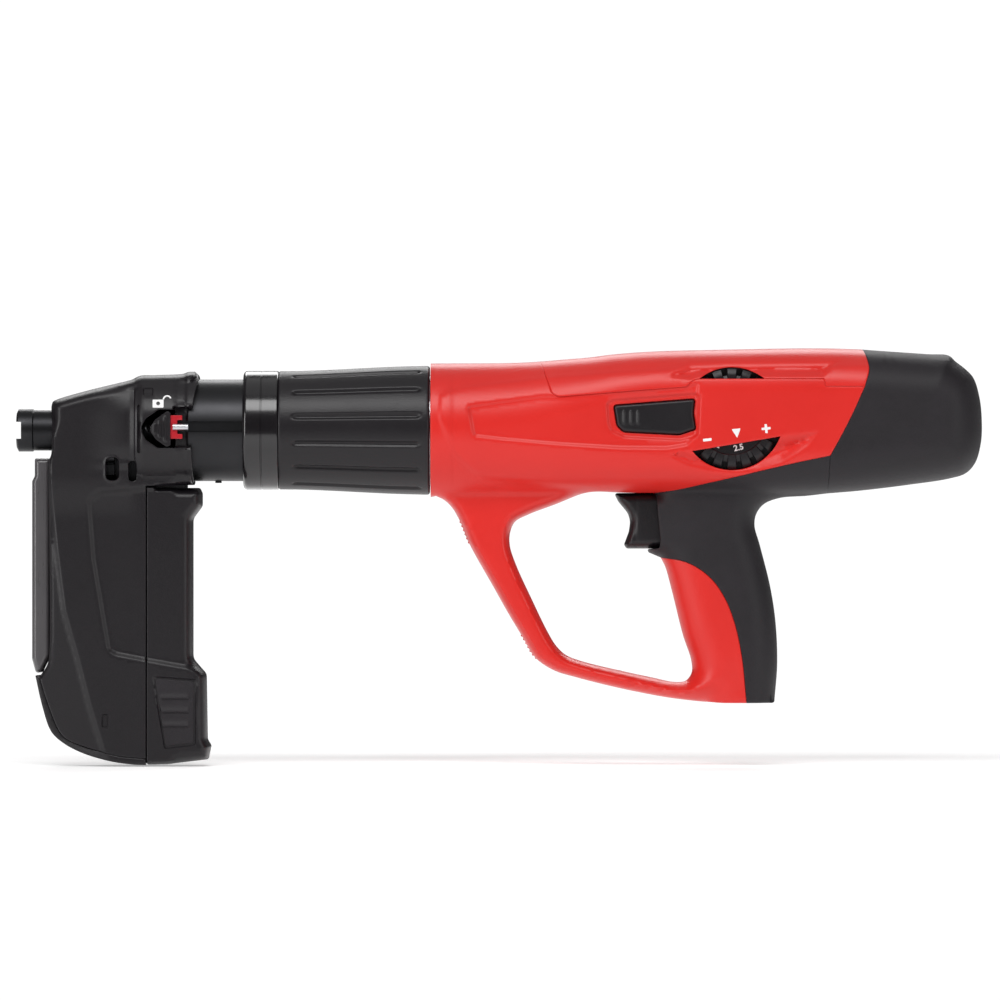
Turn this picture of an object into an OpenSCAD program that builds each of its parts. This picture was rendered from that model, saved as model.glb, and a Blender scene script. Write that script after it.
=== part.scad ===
// Powder-actuated nail gun with a slide-on nail magazine.
// Origin: centre of the muzzle bore at the floor of the muzzle notch.
// +X runs to the rear along the barrel line, +Z is up, -Y is the side with the power wheel.

/* [Barrel line] */
// Radius of the muzzle bore
bore_r = 4.2; // [3.6:0.1:4.8]
// Radius of the nosepiece
nose_r = 10; // [9.4:0.1:10.6]
// Length of the nosepiece that stands out of the magazine
nose_out = 14.5; // [12:0.5:18]
// Height of each lip in front of the muzzle notch
lip_len = 2.5; // [1.5:0.5:4]
// Outer radius of the guide sleeve
sleeve_r = 25.1; // [24:0.1:26]
// Wall of the guide sleeve
sleeve_wall = 4; // [3:0.5:5]
// Length of guide sleeve that shows behind the magazine
sleeve_gap = 21; // [19:0.5:26]
// Outer radius of the piston guide
guide_r = 14; // [13:0.1:15]
// Wall of the piston guide
guide_wall = 2.8; // [2:0.1:3.2]
// Radius of the piston's driving rod
rod_r = 3.9; // [3.2:0.1:4]
// Distance the front unit is pressed in against the work
contact_stroke = 16; // [10:1:18]
// Distance the piston drives forward
piston_stroke = 76; // [75:1:80]

/* [Return unit] */
// Length of the glossy front ring
ring_len = 17.3; // [14:0.1:20]
// Outer radius of the front ring
ring_r = 29.3; // [28.8:0.1:30.5]
// Length of the ribbed grip sleeve
ribbed_len = 75; // [65:1:85]
// Outer radius of the ribbed sleeve at its front
ribbed_r1 = 29.2; // [28.8:0.1:30]
// Outer radius of the ribbed sleeve at its rear
ribbed_r2 = 31.8; // [30.5:0.1:32.5]
// Number of long grooves around the ribbed sleeve
groove_count = 14; // [8:1:20]

/* [Housing] */
// Length of the red housing along the barrel line
housing_len = 212.5; // [200:0.5:225]
// Radius of the housing's round front end
housing_r = 33; // [32.6:0.1:34]
// Half width of the housing at its middle
body_half = 32; // [31:0.5:34]
// Height of the housing's top at its rear end
body_top = 40.4; // [38:0.2:43]
// Depth of the housing's underside below the barrel line
body_low = 31; // [29.5:0.5:32]
// Wall of the housing, grip and caps
wall = 2.8; // [2:0.1:3.2]
// Length of the rear cap behind the housing
cap_len = 59.5; // [52:0.5:66]
// Height of the grip below the housing's underside
grip_h = 103.4; // [92:0.1:115]
// Full width of the hand guard
guard_w = 26; // [22:1:30]
// Full width of the grip
grip_w = 34; // [32:1:38]
// Diameter of the housing screws' shanks
screw_d = 3.2; // [2.5:0.1:4]
// Diameter of the housing screws' heads
screw_head_d = 6.4; // [5.5:0.1:7]

/* [Cartridge path] */
// Clear width of the cartridge guide across the tool
strip_w = 13; // [11:0.5:14]
// Clear depth of the cartridge guide along the tool
strip_d = 9; // [8:0.5:10]
// Wall of the cartridge guide
strip_wall = 1.5; // [1:0.1:1.6]

/* [Controls] */
// Radius of the power wheel to its lumps
wheel_r = 24.6; // [22:0.2:24.8]
// Radius of the windows that show the power wheel
window_r = 25.2; // [25:0.1:26]
// Thickness of the power wheel
wheel_t = 5.2; // [4:0.1:5.4]
// Number of lumps on the power wheel's rim
wheel_lumps = 20; // [12:1:24]
// Radius of the pins that levers and the wheel turn on
pin_r = 2; // [1.6:0.1:2.4]
// Full width of the trigger
trigger_w = 18; // [14:0.5:20]
// Travel of the trigger
trigger_stroke = 6; // [4:0.5:7]
// Travel of the release button
button_stroke = 2; // [1:0.5:2]
// Radius of the firing pin's shaft
firing_pin_r = 3; // [2.5:0.1:3.4]
// Travel of the firing pin
firing_stroke = 8; // [5:1:10]

/* [Magazine] */
// Distance from the muzzle notch to the collar's rear edge
collar_x = 88.5; // [86:0.5:92]
// Radius of the magazine's head over the guide sleeve
head_r = 28; // [27.8:0.1:29]
// Full width of the flat magazine below its head
mag_w = 34; // [30:0.5:38]
// Wall of the magazine shells and cover
mag_wall = 2.5; // [2:0.1:3]
// Depth of the magazine's base below the barrel line
mag_low = 165; // [150:1:175]
// Clear width of the nail channel across the tool
nail_w = 9; // [8:0.2:9.4]
// Wall of the nail channel
nail_wall = 1.5; // [1:0.1:2]
// Travel of the release catch
catch_stroke = 4; // [2:0.5:4]

/* [Clearances] */
// Gap between pieces that move past each other
gap = 0.3; // [0.25:0.05:0.5]
// Radial clearance of a shaft in its bearing
run_fit = 0.06; // [0.02:0.01:0.1]

/* [Hidden] */
$fn = 64;
hull_fn = 32;
big = 120;

// ---- places along the barrel line ----
ring_x = collar_x + sleeve_gap;
ribbed_x = ring_x + ring_len;
house_x = ribbed_x + ribbed_len;
rear_x = house_x + housing_len;
tail_x = rear_x + cap_len;
sleeve_x = collar_x - 6.5;
sleeve_end = ribbed_x + 13;
web_len = 5;
socket_len = 13;
tube_r = sleeve_r + gap;
tube_wall = 1.6;
tube_out = tube_r + tube_wall;
lug_h = 1.3;
ring_bore = tube_r + 1.2;
receiver_r = guide_r + gap + 4.7;
guide_bore = guide_r - guide_wall;
strip_out_d = strip_d + 2 * strip_wall;
strip_out_w = strip_w + 2 * strip_wall;
strip_x0 = house_x + 144.3;
strip_slope = 0.134;
strip_gap = 3.8;
guide_end = strip_x0 - strip_out_d / 2 - strip_gap - contact_stroke;
breech_rear = strip_x0 + 38;
grip_z = -body_low - grip_h;

// ---- helpers ----
// A solid between y0 and y1 from an outline drawn in the tool's side plane (X, Z).
module side(y0, y1) {
  translate([0, y1, 0]) rotate([90, 0, 0]) linear_extrude(y1 - y0) children();
}
// A straight cylinder on the barrel line.
module rod_x(x0, x1, r) {
  translate([x0, 0, 0]) rotate([0, 90, 0]) cylinder(r = r, h = x1 - x0);
}
// A straight cylinder across the tool at (x, z).
module rod_y(x, z, y0, y1, r) {
  translate([x, y0, z]) rotate([-90, 0, 0]) cylinder(r = r, h = y1 - y0);
}
// A turned solid about the barrel line from an outline of [x, radius] points.
module turned(outline) {
  rotate([0, 90, 0]) rotate_extrude() polygon([for (p = outline) [p[1], p[0]]]);
}
module pipe(x0, x1, r_out, r_in) {
  turned([[x0, r_in], [x0, r_out], [x1, r_out], [x1, r_in]]);
}
module box(x0, x1, y0, y1, z0, z1) {
  translate([x0, y0, z0]) cube([x1 - x0, y1 - y0, z1 - z0]);
}
// One rounded cross-section of the housing: [x, half width, low z, high z, corner radius].
module section(s, inset) {
  r = max(s[4] - inset, 1);
  for (y = [-1, 1], z = [s[2] + s[4], s[3] - s[4]])
    translate([s[0], y * (s[1] - s[4]), z]) rotate([0, 90, 0]) cylinder(r = r, h = 0.5, $fn = hull_fn);
}
// A coil spring along +Z, as one closed sweep of its wire.
module coil(r, wire_r, length, turns, steps = 16, sides = 6) {
  n = turns * steps;
  rise = (length - 2 * wire_r) / n;
  points = [
    for (i = [0:n]) for (j = [0:sides - 1])
      let (a = 360 * i / steps, b = 360 * j / sides, q = r + wire_r * cos(b))
        [q * cos(a), q * sin(a), wire_r + i * rise + wire_r * sin(b)]
  ];
  rings = [
    for (i = [0:n - 1]) for (j = [0:sides - 1])
      let (k = (j + 1) % sides)
        [i * sides + j, (i + 1) * sides + j, (i + 1) * sides + k, i * sides + k]
  ];
  ends = [[for (j = [0:sides - 1]) j], [for (j = [sides - 1:-1:0]) n * sides + j]];
  polyhedron(points, concat(rings, ends), convexity = 10);
}

// ---- housing envelope ----
front_section = [house_x, housing_r, -housing_r, housing_r, housing_r - 0.5];
inner_r = housing_r - 0.6;
inner_front = [house_x + 8, inner_r, -inner_r, inner_r, inner_r - 0.5];
mid_section = [house_x + 98, body_half, -body_low, body_top - 2.4, 16];
rear_section = [rear_x, body_half - 1, -body_low + 1, body_top, 15];
cap_section = [house_x + 194, body_half - 0.8, -body_low + 0.6, body_top - 0.4, 15];
cap_waist = [tail_x - 18, body_half - 3, -body_low + 6.5, body_top - 3.5, 15];
cap_tail = [tail_x - 0.5, body_half - 13, -14.5, 20, 12];

module body_envelope(inset = 0) {
  hull() {
    section(inset > 0 ? inner_front : front_section, inset);
    section(mid_section, inset);
    section(rear_section, inset);
  }
}
module cap_envelope(inset = 0) {
  hull() {
    section(cap_section, inset);
    section(rear_section, inset);
    section(cap_waist - [inset, 0, 0, 0, 0], inset);
    section(cap_tail - [inset, 0, 0, 0, 0], inset);
  }
}

// ---- side outlines, with X from the housing's front plane ----
h = house_x;
// Line between the red housing and the black grip and rear cap, from the trigger to the top.
colour_line = [
  [h + 109.5, -body_low - 4], [h + 109.5, -body_low], [h + 133.5, -26.5], [h + 159, -21],
  [rear_x - 16.5, -12.5], [rear_x - 11, -2], [rear_x - 5.5, 9.5], [rear_x, 21.5], [rear_x + 2.5, 29.5],
  [rear_x, body_top + 5]
];
// Front and lower outline of the guard, from the housing down to the grip's base.
guard_outer = [
  [h + 2, -28], [h + 2, -32], [h + 10, -38], [h + 14, -45], [h + 18, -55], [h + 29.5, -76],
  [h + 45.5, grip_z + 31.5], [h + 53.5, grip_z + 20], [h + 61.5, grip_z + 15.3],
  [h + 85, grip_z + 9], [h + 117, grip_z + 2.5], [h + 134, grip_z]
];
// Edge where the red guard meets the black grip, from the grip's base up to the trigger.
grip_edge = [
  [h + 155.5, grip_z], [h + 153, grip_z + 22.8], [h + 149, -94], [h + 144, -81.5],
  [h + 136, -71.5], [h + 125.5, -65], [h + 113, -62.8]
];
// The hand loop's outline, from behind the trigger round to the housing's underside.
loop_outline = [
  [h + 115.3, -67], [h + 119, -80], [h + 124, grip_z + 33.4], [h + 128.5, grip_z + 19.7],
  [h + 128, grip_z + 14.4], [h + 124.7, grip_z + 10.3], [h + 109, grip_z + 12.4],
  [h + 93, grip_z + 15.8], [h + 65.3, grip_z + 24.2], [h + 61.4, grip_z + 28.1],
  [h + 49.5, -83.5], [h + 41.5, -66], [h + 38.7, -57], [h + 39.5, -48], [h + 45.5, -42.5],
  [h + 61.5, -36.5], [h + 77, -body_low], [h + 84, -body_low], [h + 84, -27]
];
// The grip's back, from the rear cap's corner down to its base.
grip_back = [
  [rear_x - 16.5, -12.5], [rear_x - 18.5, -body_low], [h + 185, -body_low - 1.7], [h + 172, -body_low - 2.2],
  [h + 163.5, -36.6], [h + 160, -41.2], [h + 159, -46.5], [h + 162, -56.3], [h + 167, -77.5],
  [h + 170, -95], [h + 170.5, grip_z + 19], [h + 169.3, grip_z]
];
// The trigger blade's front and lower outline.
trigger_front = [
  [h + 90, -32], [h + 97, -41.2], [h + 97.4, -48], [h + 95, -55.6], [h + 96.2, -57.6], [h + 109, -58]
];
trigger_top = -body_low - 0.5;
trigger_rear = h + 124;
// Edge between the housing and its top cover, from the front seam to the rear.
cover_seam = [
  [h + 53.5, body_top + 5], [h + 53.5, 33], [h + 59, 18.2], [h + 61, 16.3], [h + 126, 21.2],
  [h + 128.6, 25], [rear_x - 20, 25], [rear_x - 19.5, 21.5], [rear_x, 21.5], [rear_x + 2.5, 29.5],
  [rear_x, body_top + 5]
];
button_outline = [
  [h + 89.5, 12], [h + 129, 15], [h + 128.3, 8], [h + 129.5, 0.4], [h + 121.5, -2.3],
  [h + 94, -1], [h + 91, 2], [h + 89.5, 9]
];
button_x = h + 110;
button_z = 5.5;
wheel_x = h + 148;
wheel_z = 5.5;
wheel_y = -21.3;
// Screw places: X from the housing's front plane, and Z.
screw_places = [
  [h + 24, -25], [h + 87, -25], [h + 26.5, -52], [h + 44.5, grip_z + 43.4],
  [h + 92.5, grip_z + 11.5], [h + 139.5, grip_z + 20], [h + 131.5, -84]
];
boss_r = 3.8;

function strip_x(z) = strip_x0 - strip_slope * z;
function lower(z) = [strip_x(z), z];

module red_outline() {
  polygon(concat([[h, body_top + 5], [h, -housing_r - 1]], colour_line));
}
module guard_outline() {
  polygon(concat(guard_outer, grip_edge, loop_outline));
}
module grip_outline() {
  polygon(concat(
    [for (i = [1:4]) colour_line[i]], [for (i = [1:len(grip_back) - 1]) grip_back[i]],
    [for (p = grip_edge) p], [[h + 111, -60]]
  ));
}
module cover_outline() {
  polygon(cover_seam);
}
module cap_outline() {
  polygon(concat(
    [for (i = [4:9]) colour_line[i]],
    [[tail_x + 5, body_top + 5], [tail_x + 5, -body_low - 5], [rear_x - 18.5, -body_low - 5]]
  ));
}
// The cartridge guide's outside or inside, slanted from the grip's base to the top cover.
module strip_block(half_d, half_w, z0, z1) {
  side(-half_w, half_w)
    polygon([lower(z0) - [half_d, 0], lower(z0) + [half_d, 0], lower(z1) + [half_d, 0],
      lower(z1) - [half_d, 0]]);
}
strip_top = body_top - 1.6;
module strip_outer() {
  strip_block(strip_out_d / 2, strip_out_w / 2, grip_z, body_top + 2);
}

// Everything that the red housing and its lids leave free.
module housing_hollow() {
  body_envelope(wall);
  rod_x(h - 1, h + socket_len + 6, housing_r - wall);
}
module wheel_windows() {
  intersection() {
    rod_y(wheel_x, wheel_z, -big, -20, window_r);
    side(-big, -20) {
      polygon([[wheel_x - 30, 25.1], [wheel_x + 30, 25.1], [wheel_x + 30, 50], [wheel_x - 30, 50]]);
      polygon([[wheel_x - 30, -11.8], [wheel_x + 30, -2], [wheel_x + 30, -50], [wheel_x - 30, -50]]);
    }
  }
}
module trigger_outline(grow = 0) {
  polygon(concat(trigger_front, [[trigger_rear, -58], [trigger_rear, trigger_top]]));
}
module red_solid() {
  difference() {
    intersection() {
      body_envelope();
      side(-big, big) red_outline();
    }
    side(-big, big) cover_outline();
    housing_hollow();
  }
}
module guard_solid() {
  difference() {
    side(-guard_w / 2, guard_w / 2) guard_outline();
    side(-guard_w / 2 + wall, guard_w / 2 - wall) offset(delta = -wall) guard_outline();
    housing_hollow();
  }
}
module housing_shell() {
  guard_solid();
  difference() {
    red_solid();
    trigger_slot();
    bar_slot();
  }
}
// Slot in the housing's floor for the trigger bar.
module bar_slot() {
  box(h + 112, h + 134, trigger_w / 2 - gap, trigger_w / 2 + 3, -42, -22);
}
module trigger_slot() {
  box(h + 106, trigger_rear + trigger_stroke + 9, -trigger_w / 2 - gap, trigger_w / 2 + gap, -58.5, -27);
}
module screw_bosses(y0, y1) {
  intersection() {
    union() {
      for (p = screw_places) rod_y(p[0], p[1], y0, y1, boss_r);
    }
    union() {
      side(-guard_w / 2, guard_w / 2) guard_outline();
      body_envelope();
    }
  }
}
module housing_left() {
  color("crimson") difference() {
    union() {
      intersection() {
        housing_shell();
        box(h - 5, tail_x, -big, 0, -mag_low, big);
      }
      screw_bosses(-guard_w / 2 + 1, 0);
    }
    wheel_windows();
    side(-big, -20) offset(delta = gap) polygon(button_outline);
    for (p = screw_places) rod_y(p[0], p[1], -guard_w / 2 + 3, 1, screw_d / 2);
  }
}
module housing_right() {
  color("crimson") difference() {
    union() {
      intersection() {
        housing_shell();
        box(h - 5, tail_x, 0, big, -mag_low, big);
      }
      screw_bosses(0, guard_w / 2 - 1);
    }
    for (p = screw_places) {
      rod_y(p[0], p[1], -1, big, screw_d / 2);
      rod_y(p[0], p[1], guard_w / 2 - 4, big, screw_head_d / 2);
    }
  }
}
module housing_screws() {
  color("dimgray") for (p = screw_places) {
    rod_y(p[0], p[1], -guard_w / 2 + 3, guard_w / 2 - 4, screw_d / 2);
    difference() {
      rod_y(p[0], p[1], guard_w / 2 - 4, guard_w / 2 - 1.4, screw_head_d / 2);
      rod_y(p[0], p[1], guard_w / 2 - 2.6, guard_w / 2, 1.4);
    }
  }
}
module top_cover() {
  color("crimson") difference() {
    intersection() {
      body_envelope();
      side(-big, big) cover_outline();
    }
    housing_hollow();
    wheel_windows();
    strip_outer();
  }
}
module rear_cap() {
  color("dimgray") difference() {
    intersection() {
      cap_envelope();
      side(-big, big) cap_outline();
    }
    cap_envelope(wall);
    body_envelope(wall);
  }
}
module grip() {
  color("dimgray") difference() {
    union() {
      intersection() {
        union() {
          body_envelope();
          side(-grip_w / 2, grip_w / 2) polygon([[h, -31], [h + 220, -31], [h + 220, -140], [h, -140]]);
        }
        side(-big, big) grip_outline();
      }
    }
    intersection() {
      body_envelope(wall);
      box(h, tail_x, -big, big, -body_low + wall, big);
    }
    trigger_slot();
    bar_slot();
    strip_outer();
  }
}

// ---- inside the housing ----
module bayonet_ring() {
  seat = housing_r - wall;
  color("silver") turned([
    [h + 0.6, tube_out + gap], [h + 0.6, seat], [h + socket_len + 6, seat],
    [h + socket_len + 6, receiver_r], [h + socket_len + 1, receiver_r],
    [h + socket_len + 1, tube_out + gap], [h + 10.5, tube_out + gap],
    [h + 10.5, tube_out + lug_h + gap], [h + 5.5, tube_out + lug_h + gap],
    [h + 5.5, tube_out + gap]
  ]);
}
module receiver_tube() {
  lug_x = strip_x0 - 13.3;
  color("silver") difference() {
    union() {
      pipe(h + socket_len + 1, strip_x0 - 1, receiver_r, guide_r + gap);
      difference() {
        box(lug_x - 4, lug_x + 4, -8.7, -6, -27.5, -15);
        rod_x(h, strip_x0, guide_r + gap + 1);
        rod_y(lug_x, -23.5, -10, 0, pin_r);
      }
    }
    strip_outer();
  }
}
module cartridge_guide() {
  color("gray") difference() {
    strip_block(strip_out_d / 2, strip_out_w / 2, grip_z, strip_top);
    strip_block(strip_d / 2, strip_w / 2, grip_z - 1, strip_top + 1);
    rod_x(strip_x0 - 12, strip_x0, 5);
    rod_x(strip_x0, strip_x0 + 12, firing_pin_r + run_fit);
  }
}
module breech_block() {
  ear_x = breech_rear + 12;
  color("silver") difference() {
    union() {
      box(strip_x0 - 1, breech_rear, -receiver_r, receiver_r, -17, 17);
      for (y = [-9.5, 6.5]) box(breech_rear - 1, ear_x + 5, y, y + 3, -21, -13);
    }
    strip_outer();
    rod_x(strip_x0 - 5, breech_rear + 1, firing_pin_r + run_fit);
    rod_y(ear_x, -17.5, -20, 20, pin_r);
    rod_x(breech_rear, ear_x + 10, 12);
  }
}
module firing_pin_tube() {
  tube_end = breech_rear + 40 + firing_stroke;
  color("silver") difference() {
    union() {
      pipe(breech_rear, tube_end, 12, 8.2);
      rod_x(tube_end - 3, tube_end, 12);
    }
    box(breech_rear + 8, breech_rear + 17, -4, 4, -13, -7);
  }
}
module wheel_bracket() {
  color("gray") difference() {
    box(wheel_x - 22, breech_rear, -receiver_r - 2, -receiver_r, -12, 17);
    rod_y(wheel_x, wheel_z, -big, 0, pin_r + 1);
  }
}
module wheel_axle() {
  color("silver") rod_y(wheel_x, wheel_z, -body_half + wall + 0.7, -receiver_r, pin_r + 1);
}
module wheel_detent() {
  color("silver") box(wheel_x + 8, wheel_x + 18, wheel_y + 0.05, -receiver_r - 2, wheel_z - 3, wheel_z + 3);
}
module sear_pin() {
  color("silver") rod_y(breech_rear + 12, -17.5, -9.5, 9.5, pin_r);
}
module feed_lever_pin() {
  color("silver") rod_y(strip_x0 - 13.3, -23.5, -12.5, -6, pin_r);
}

// ---- return unit ----
module front_ring() {
  color("black") turned([
    [ring_x, ring_bore], [ring_x, ring_r - 2.4], [ring_x + 0.5, ring_r - 1.1], [ring_x + 1.8, ring_r],
    [ribbed_x - 0.8, ring_r], [ribbed_x, ring_r - 0.8], [ribbed_x, ring_bore]
  ]);
}
module ribbed_sleeve() {
  color("dimgray") difference() {
    turned([
      [ribbed_x, tube_out], [ribbed_x, ribbed_r1 - 0.6], [ribbed_x + 0.8, ribbed_r1],
      [house_x - 0.8, ribbed_r2], [house_x - 0.4, ribbed_r2 - 0.4], [house_x - 0.4, tube_out]
    ]);
    for (i = [0:groove_count - 1]) rotate([360 * i / groove_count, 0, 0])
      translate([ribbed_x + 8, 0, ribbed_r1 + 3.9]) rotate([0, 89, 0])
        cylinder(r = 4.2, h = ribbed_len - 14);
  }
}
module return_tube() {
  color("silver") difference() {
    union() {
      pipe(ribbed_x, h + socket_len, tube_out, tube_r);
      for (a = [0, 180]) rotate([a, 0, 0]) intersection() {
        pipe(h + 6, h + 10, tube_out + lug_h, tube_r);
        box(h, h + 20, 0, big, -6, 6);
      }
    }
  }
}

// ---- front unit ----
module guide_sleeve() {
  color("black") difference() {
    union() {
      turned([
        [sleeve_x, guide_r], [sleeve_x, sleeve_r - 1], [sleeve_x + 1, sleeve_r], [sleeve_end, sleeve_r],
        [sleeve_end, guide_r], [sleeve_end - web_len, guide_r],
        [sleeve_end - web_len, sleeve_r - sleeve_wall], [sleeve_x + web_len, sleeve_r - sleeve_wall],
        [sleeve_x + web_len, guide_r]
      ]);
      box(collar_x + 7, collar_x + 10, -2.5, 2.5, -sleeve_r - 0.9, -sleeve_r + 1);
    }
    box(sleeve_x - 1, ring_x + 3, -big, -sleeve_r + 1.3, -1, 4.3);
  }
}
module piston_guide() {
  front_x = sleeve_x + 83;
  throat_r = rod_r + 2 * gap;
  color("silver") turned([
    [sleeve_x, throat_r], [sleeve_x, guide_r - 1], [sleeve_x + 1, guide_r], [guide_end, guide_r],
    [guide_end, throat_r], [guide_end - 9, throat_r], [guide_end - 9, guide_bore],
    [front_x, guide_bore], [front_x, throat_r]
  ]);
}
module buffer() {
  color("black") pipe(sleeve_x + 83, sleeve_x + 96, guide_bore, rod_r + 0.8);
}
module contact_spring() {
  color("silver") translate([sleeve_end, 0, 0]) rotate([0, 90, 0])
    coil(guide_r + 5.4, 1.8, h + socket_len + 1 - sleeve_end, 9, 20);
}

// ---- piston ----
head_x = guide_end - 32;
// Where the rod's tip stops when the piston is driven.
driven_tip = 8;
module piston() {
  color("silver") difference() {
    union() {
      rod_x(driven_tip + piston_stroke, head_x + 1, rod_r);
      rod_x(head_x, head_x + 18, guide_bore - gap);
    }
    for (x = [5, 10]) pipe(head_x + x, head_x + x + 2.4, guide_bore, guide_bore - 2);
    rod_x(head_x + 15, head_x + 19, rod_r);
  }
}
module piston_rings() {
  color("gray") for (x = [5, 10]) pipe(head_x + x, head_x + x + 2.4, guide_bore - run_fit, guide_bore - 2);
}

// ---- magazine ----
channel_x0 = 16;
channel_x1 = sleeve_x - 0.3;
seam_x = 62;
plate_x = 13.3;
channel_low = mag_low - 30;
head_outline = [
  [nose_out, 0], [nose_out, 12.5], [nose_out + 1.3, 14.7], [nose_out + 44, head_r - 0.9],
  [collar_x - 9, head_r], [collar_x - 2.6, head_r + 1], [collar_x, head_r - 1.6], [collar_x, 0]
];
head_hollow = [
  [nose_out + 3.5, 0], [nose_out + 3.5, 11.5], [nose_out + 44, head_r - 4],
  [sleeve_x - 3, head_r - 4], [sleeve_x - 3, 0]
];
slab_outline = [
  [plate_x + 1.2, -8], [plate_x + 1.2, -12], [plate_x, -14], [plate_x, -119.5], [9, -121],
  [12, 30 - mag_low], [18.8, 17 - mag_low], [22, 13 - mag_low], [38.5, 7.2 - mag_low],
  [seam_x, 3.4 - mag_low], [seam_x, -8]
];
guard_strip = [
  [6.6, -121], [9.9, 30.6 - mag_low], [13.8, 18.2 - mag_low], [16.3, 14.5 - mag_low],
  [22.7, 9.4 - mag_low], [38.5, 3.5 - mag_low], [seam_x, 0.2 - mag_low]
];
rear_cover_outline = [
  [seam_x + gap, -28.2], [collar_x - 0.5, -28.2], [collar_x + 0.6, -31], [collar_x + 0.8, -37.6],
  [collar_x - 3.9, -43.5], [collar_x - 3.9, -110], [collar_x - 3.5, -115], [collar_x + 2.7, -120],
  [collar_x + 3.3, 12 - mag_low], [collar_x + 5.2, 9.6 - mag_low], [collar_x + 3.5, 2.6 - mag_low],
  [collar_x - 8, 1.2 - mag_low], [seam_x + gap, -mag_low]
];
// Screws that join the magazine shells: X, Z and the Y of the seat under each head.
mag_screws = [[38, 14.5, 10], [53, 17.5, 13]];
// Screws that hold the right shell to the nail channel: X and Z.
rail_screws = [[34, -125], [50, -75]];
rail_seat = 13;

// The wedge that tapers the magazine's front towards its window plate.
module front_taper() {
  hull() {
    for (y = [-1, 1]) {
      translate([plate_x - 6, y * 6, -mag_low - 5]) cylinder(r = 0.2, h = mag_low, $fn = 6);
      translate([collar_x + 10, y * (mag_w / 2 - 0.2), -mag_low - 5])
        cylinder(r = 0.2, h = mag_low + 5, $fn = 6);
      translate([plate_x + 1.5, y * (mag_w / 2 - 0.2), -12]) cylinder(r = 0.2, h = 12, $fn = 6);
      translate([40, y * (mag_w / 2 - 0.2), -mag_low - 5]) cylinder(r = 0.2, h = 18, $fn = 6);
    }
  }
}
module channel_outer(clear = 0) {
  box(channel_x0, channel_x1 + clear, -nail_w / 2 - nail_wall - clear, nail_w / 2 + nail_wall + clear,
    -channel_low, -1);
}
module tongue() {
  inner = mag_w / 2 - mag_wall;
  for (s = [-1, 1]) mirror([0, s < 0 ? 1 : 0, 0])
    union() {
      box(seam_x - 6, seam_x + 3, inner - gap - 2.5, inner - gap, -channel_low, -34);
      box(seam_x + gap, seam_x + 3, inner - 1, inner + 1, -channel_low, -34);
    }
}
module mag_shell() {
  inner = mag_w / 2 - mag_wall;
  difference() {
    union() {
      difference() {
        turned(head_outline);
        box(seam_x - 30, collar_x + 5, -big, big, -big, -26.9);
      }
      intersection() {
        side(-mag_w / 2, mag_w / 2) polygon(slab_outline);
        front_taper();
      }
    }
    turned(head_hollow);
    rod_x(sleeve_x - 4, collar_x + 1, sleeve_r + gap);
    intersection() {
      side(-inner, inner) {
        difference() {
          offset(delta = -mag_wall) polygon(slab_outline);
          for (z = [-60, -112]) translate([30, z]) square([18, 2]);
        }
        translate([seam_x - mag_wall - 1, 6 - mag_low]) square([mag_wall + 3, mag_low - 15]);
      }
      translate([2, 0, 0]) front_taper();
    }
    rod_x(nose_out - 1, nose_out + 5, nose_r);
    channel_outer();
    box(channel_x0 + nail_wall, seam_x + 5, -nail_w / 2, nail_w / 2, -mag_low - 1, -channel_low + 1);
    for (s = [-1, 1]) mirror([0, s < 0 ? 1 : 0, 0])
      box(seam_x - 6.5, seam_x + 1, inner - 3.2, inner, -mag_low - 1, -30);
  }
  difference() {
    rod_x(56, 59, head_r - 3.8);
    rod_x(55, 60, nose_r);
    channel_outer();
    box(50, 65, -big, big, -big, -20);
  }
  for (p = mag_screws) rod_y(p[0], p[1], -p[2] - 1.6, p[2] + 1.6, 2.6);
  for (p = rail_screws) rod_y(p[0], p[1], nail_w / 2 + nail_wall, rail_seat + 1.6, 2.6);
}
catch_tip = 63.2;
pocket_x = catch_tip - catch_stroke - 1.7;
module catch_pocket() {
  box(pocket_x, collar_x - 3, -big, -head_r + 6, -12, 13);
}
module magazine_left() {
  color("dimgray") difference() {
    union() {
      intersection() {
        mag_shell();
        box(0, collar_x + 10, -big, 0, -mag_low - 5, big);
      }
      difference() {
        box(54, sleeve_x - 1.5, -head_r + 2.2, -head_r + 8.5, -14, 15);
        rod_x(50, collar_x, 14);
      }
      for (x = [34, 47]) box(x, x + 3, -mag_w / 2 + mag_wall - 0.5, -8, -15.5, -9.5);
    }
    catch_pocket();
    for (p = mag_screws) rod_y(p[0], p[1], -6, 1, 0.8);
    rod_roller(pin_r - 0.5);
  }
}
module magazine_right() {
  color("dimgray") difference() {
    intersection() {
      mag_shell();
      box(0, collar_x + 10, 0, big, -mag_low - 5, big);
    }
    for (p = mag_screws) {
      rod_y(p[0], p[1], -1, mag_w, 0.8);
      rod_y(p[0], p[1], p[2], mag_w, 2.2);
    }
    for (p = rail_screws) {
      rod_y(p[0], p[1], 1, mag_w, 0.8);
      rod_y(p[0], p[1], rail_seat, mag_w, 2.2);
    }
  }
}
module magazine_screws() {
  color("gray") {
    for (p = mag_screws) {
      rod_y(p[0], p[1], -6, p[2], 0.8);
      rod_y(p[0], p[1], p[2], p[2] + 1.6, 2.2);
    }
    for (p = rail_screws) {
      rod_y(p[0], p[1], nail_w / 2 + nail_wall, rail_seat, 0.8);
      rod_y(p[0], p[1], rail_seat, rail_seat + 1.6, 2.2);
    }
  }
}
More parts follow.
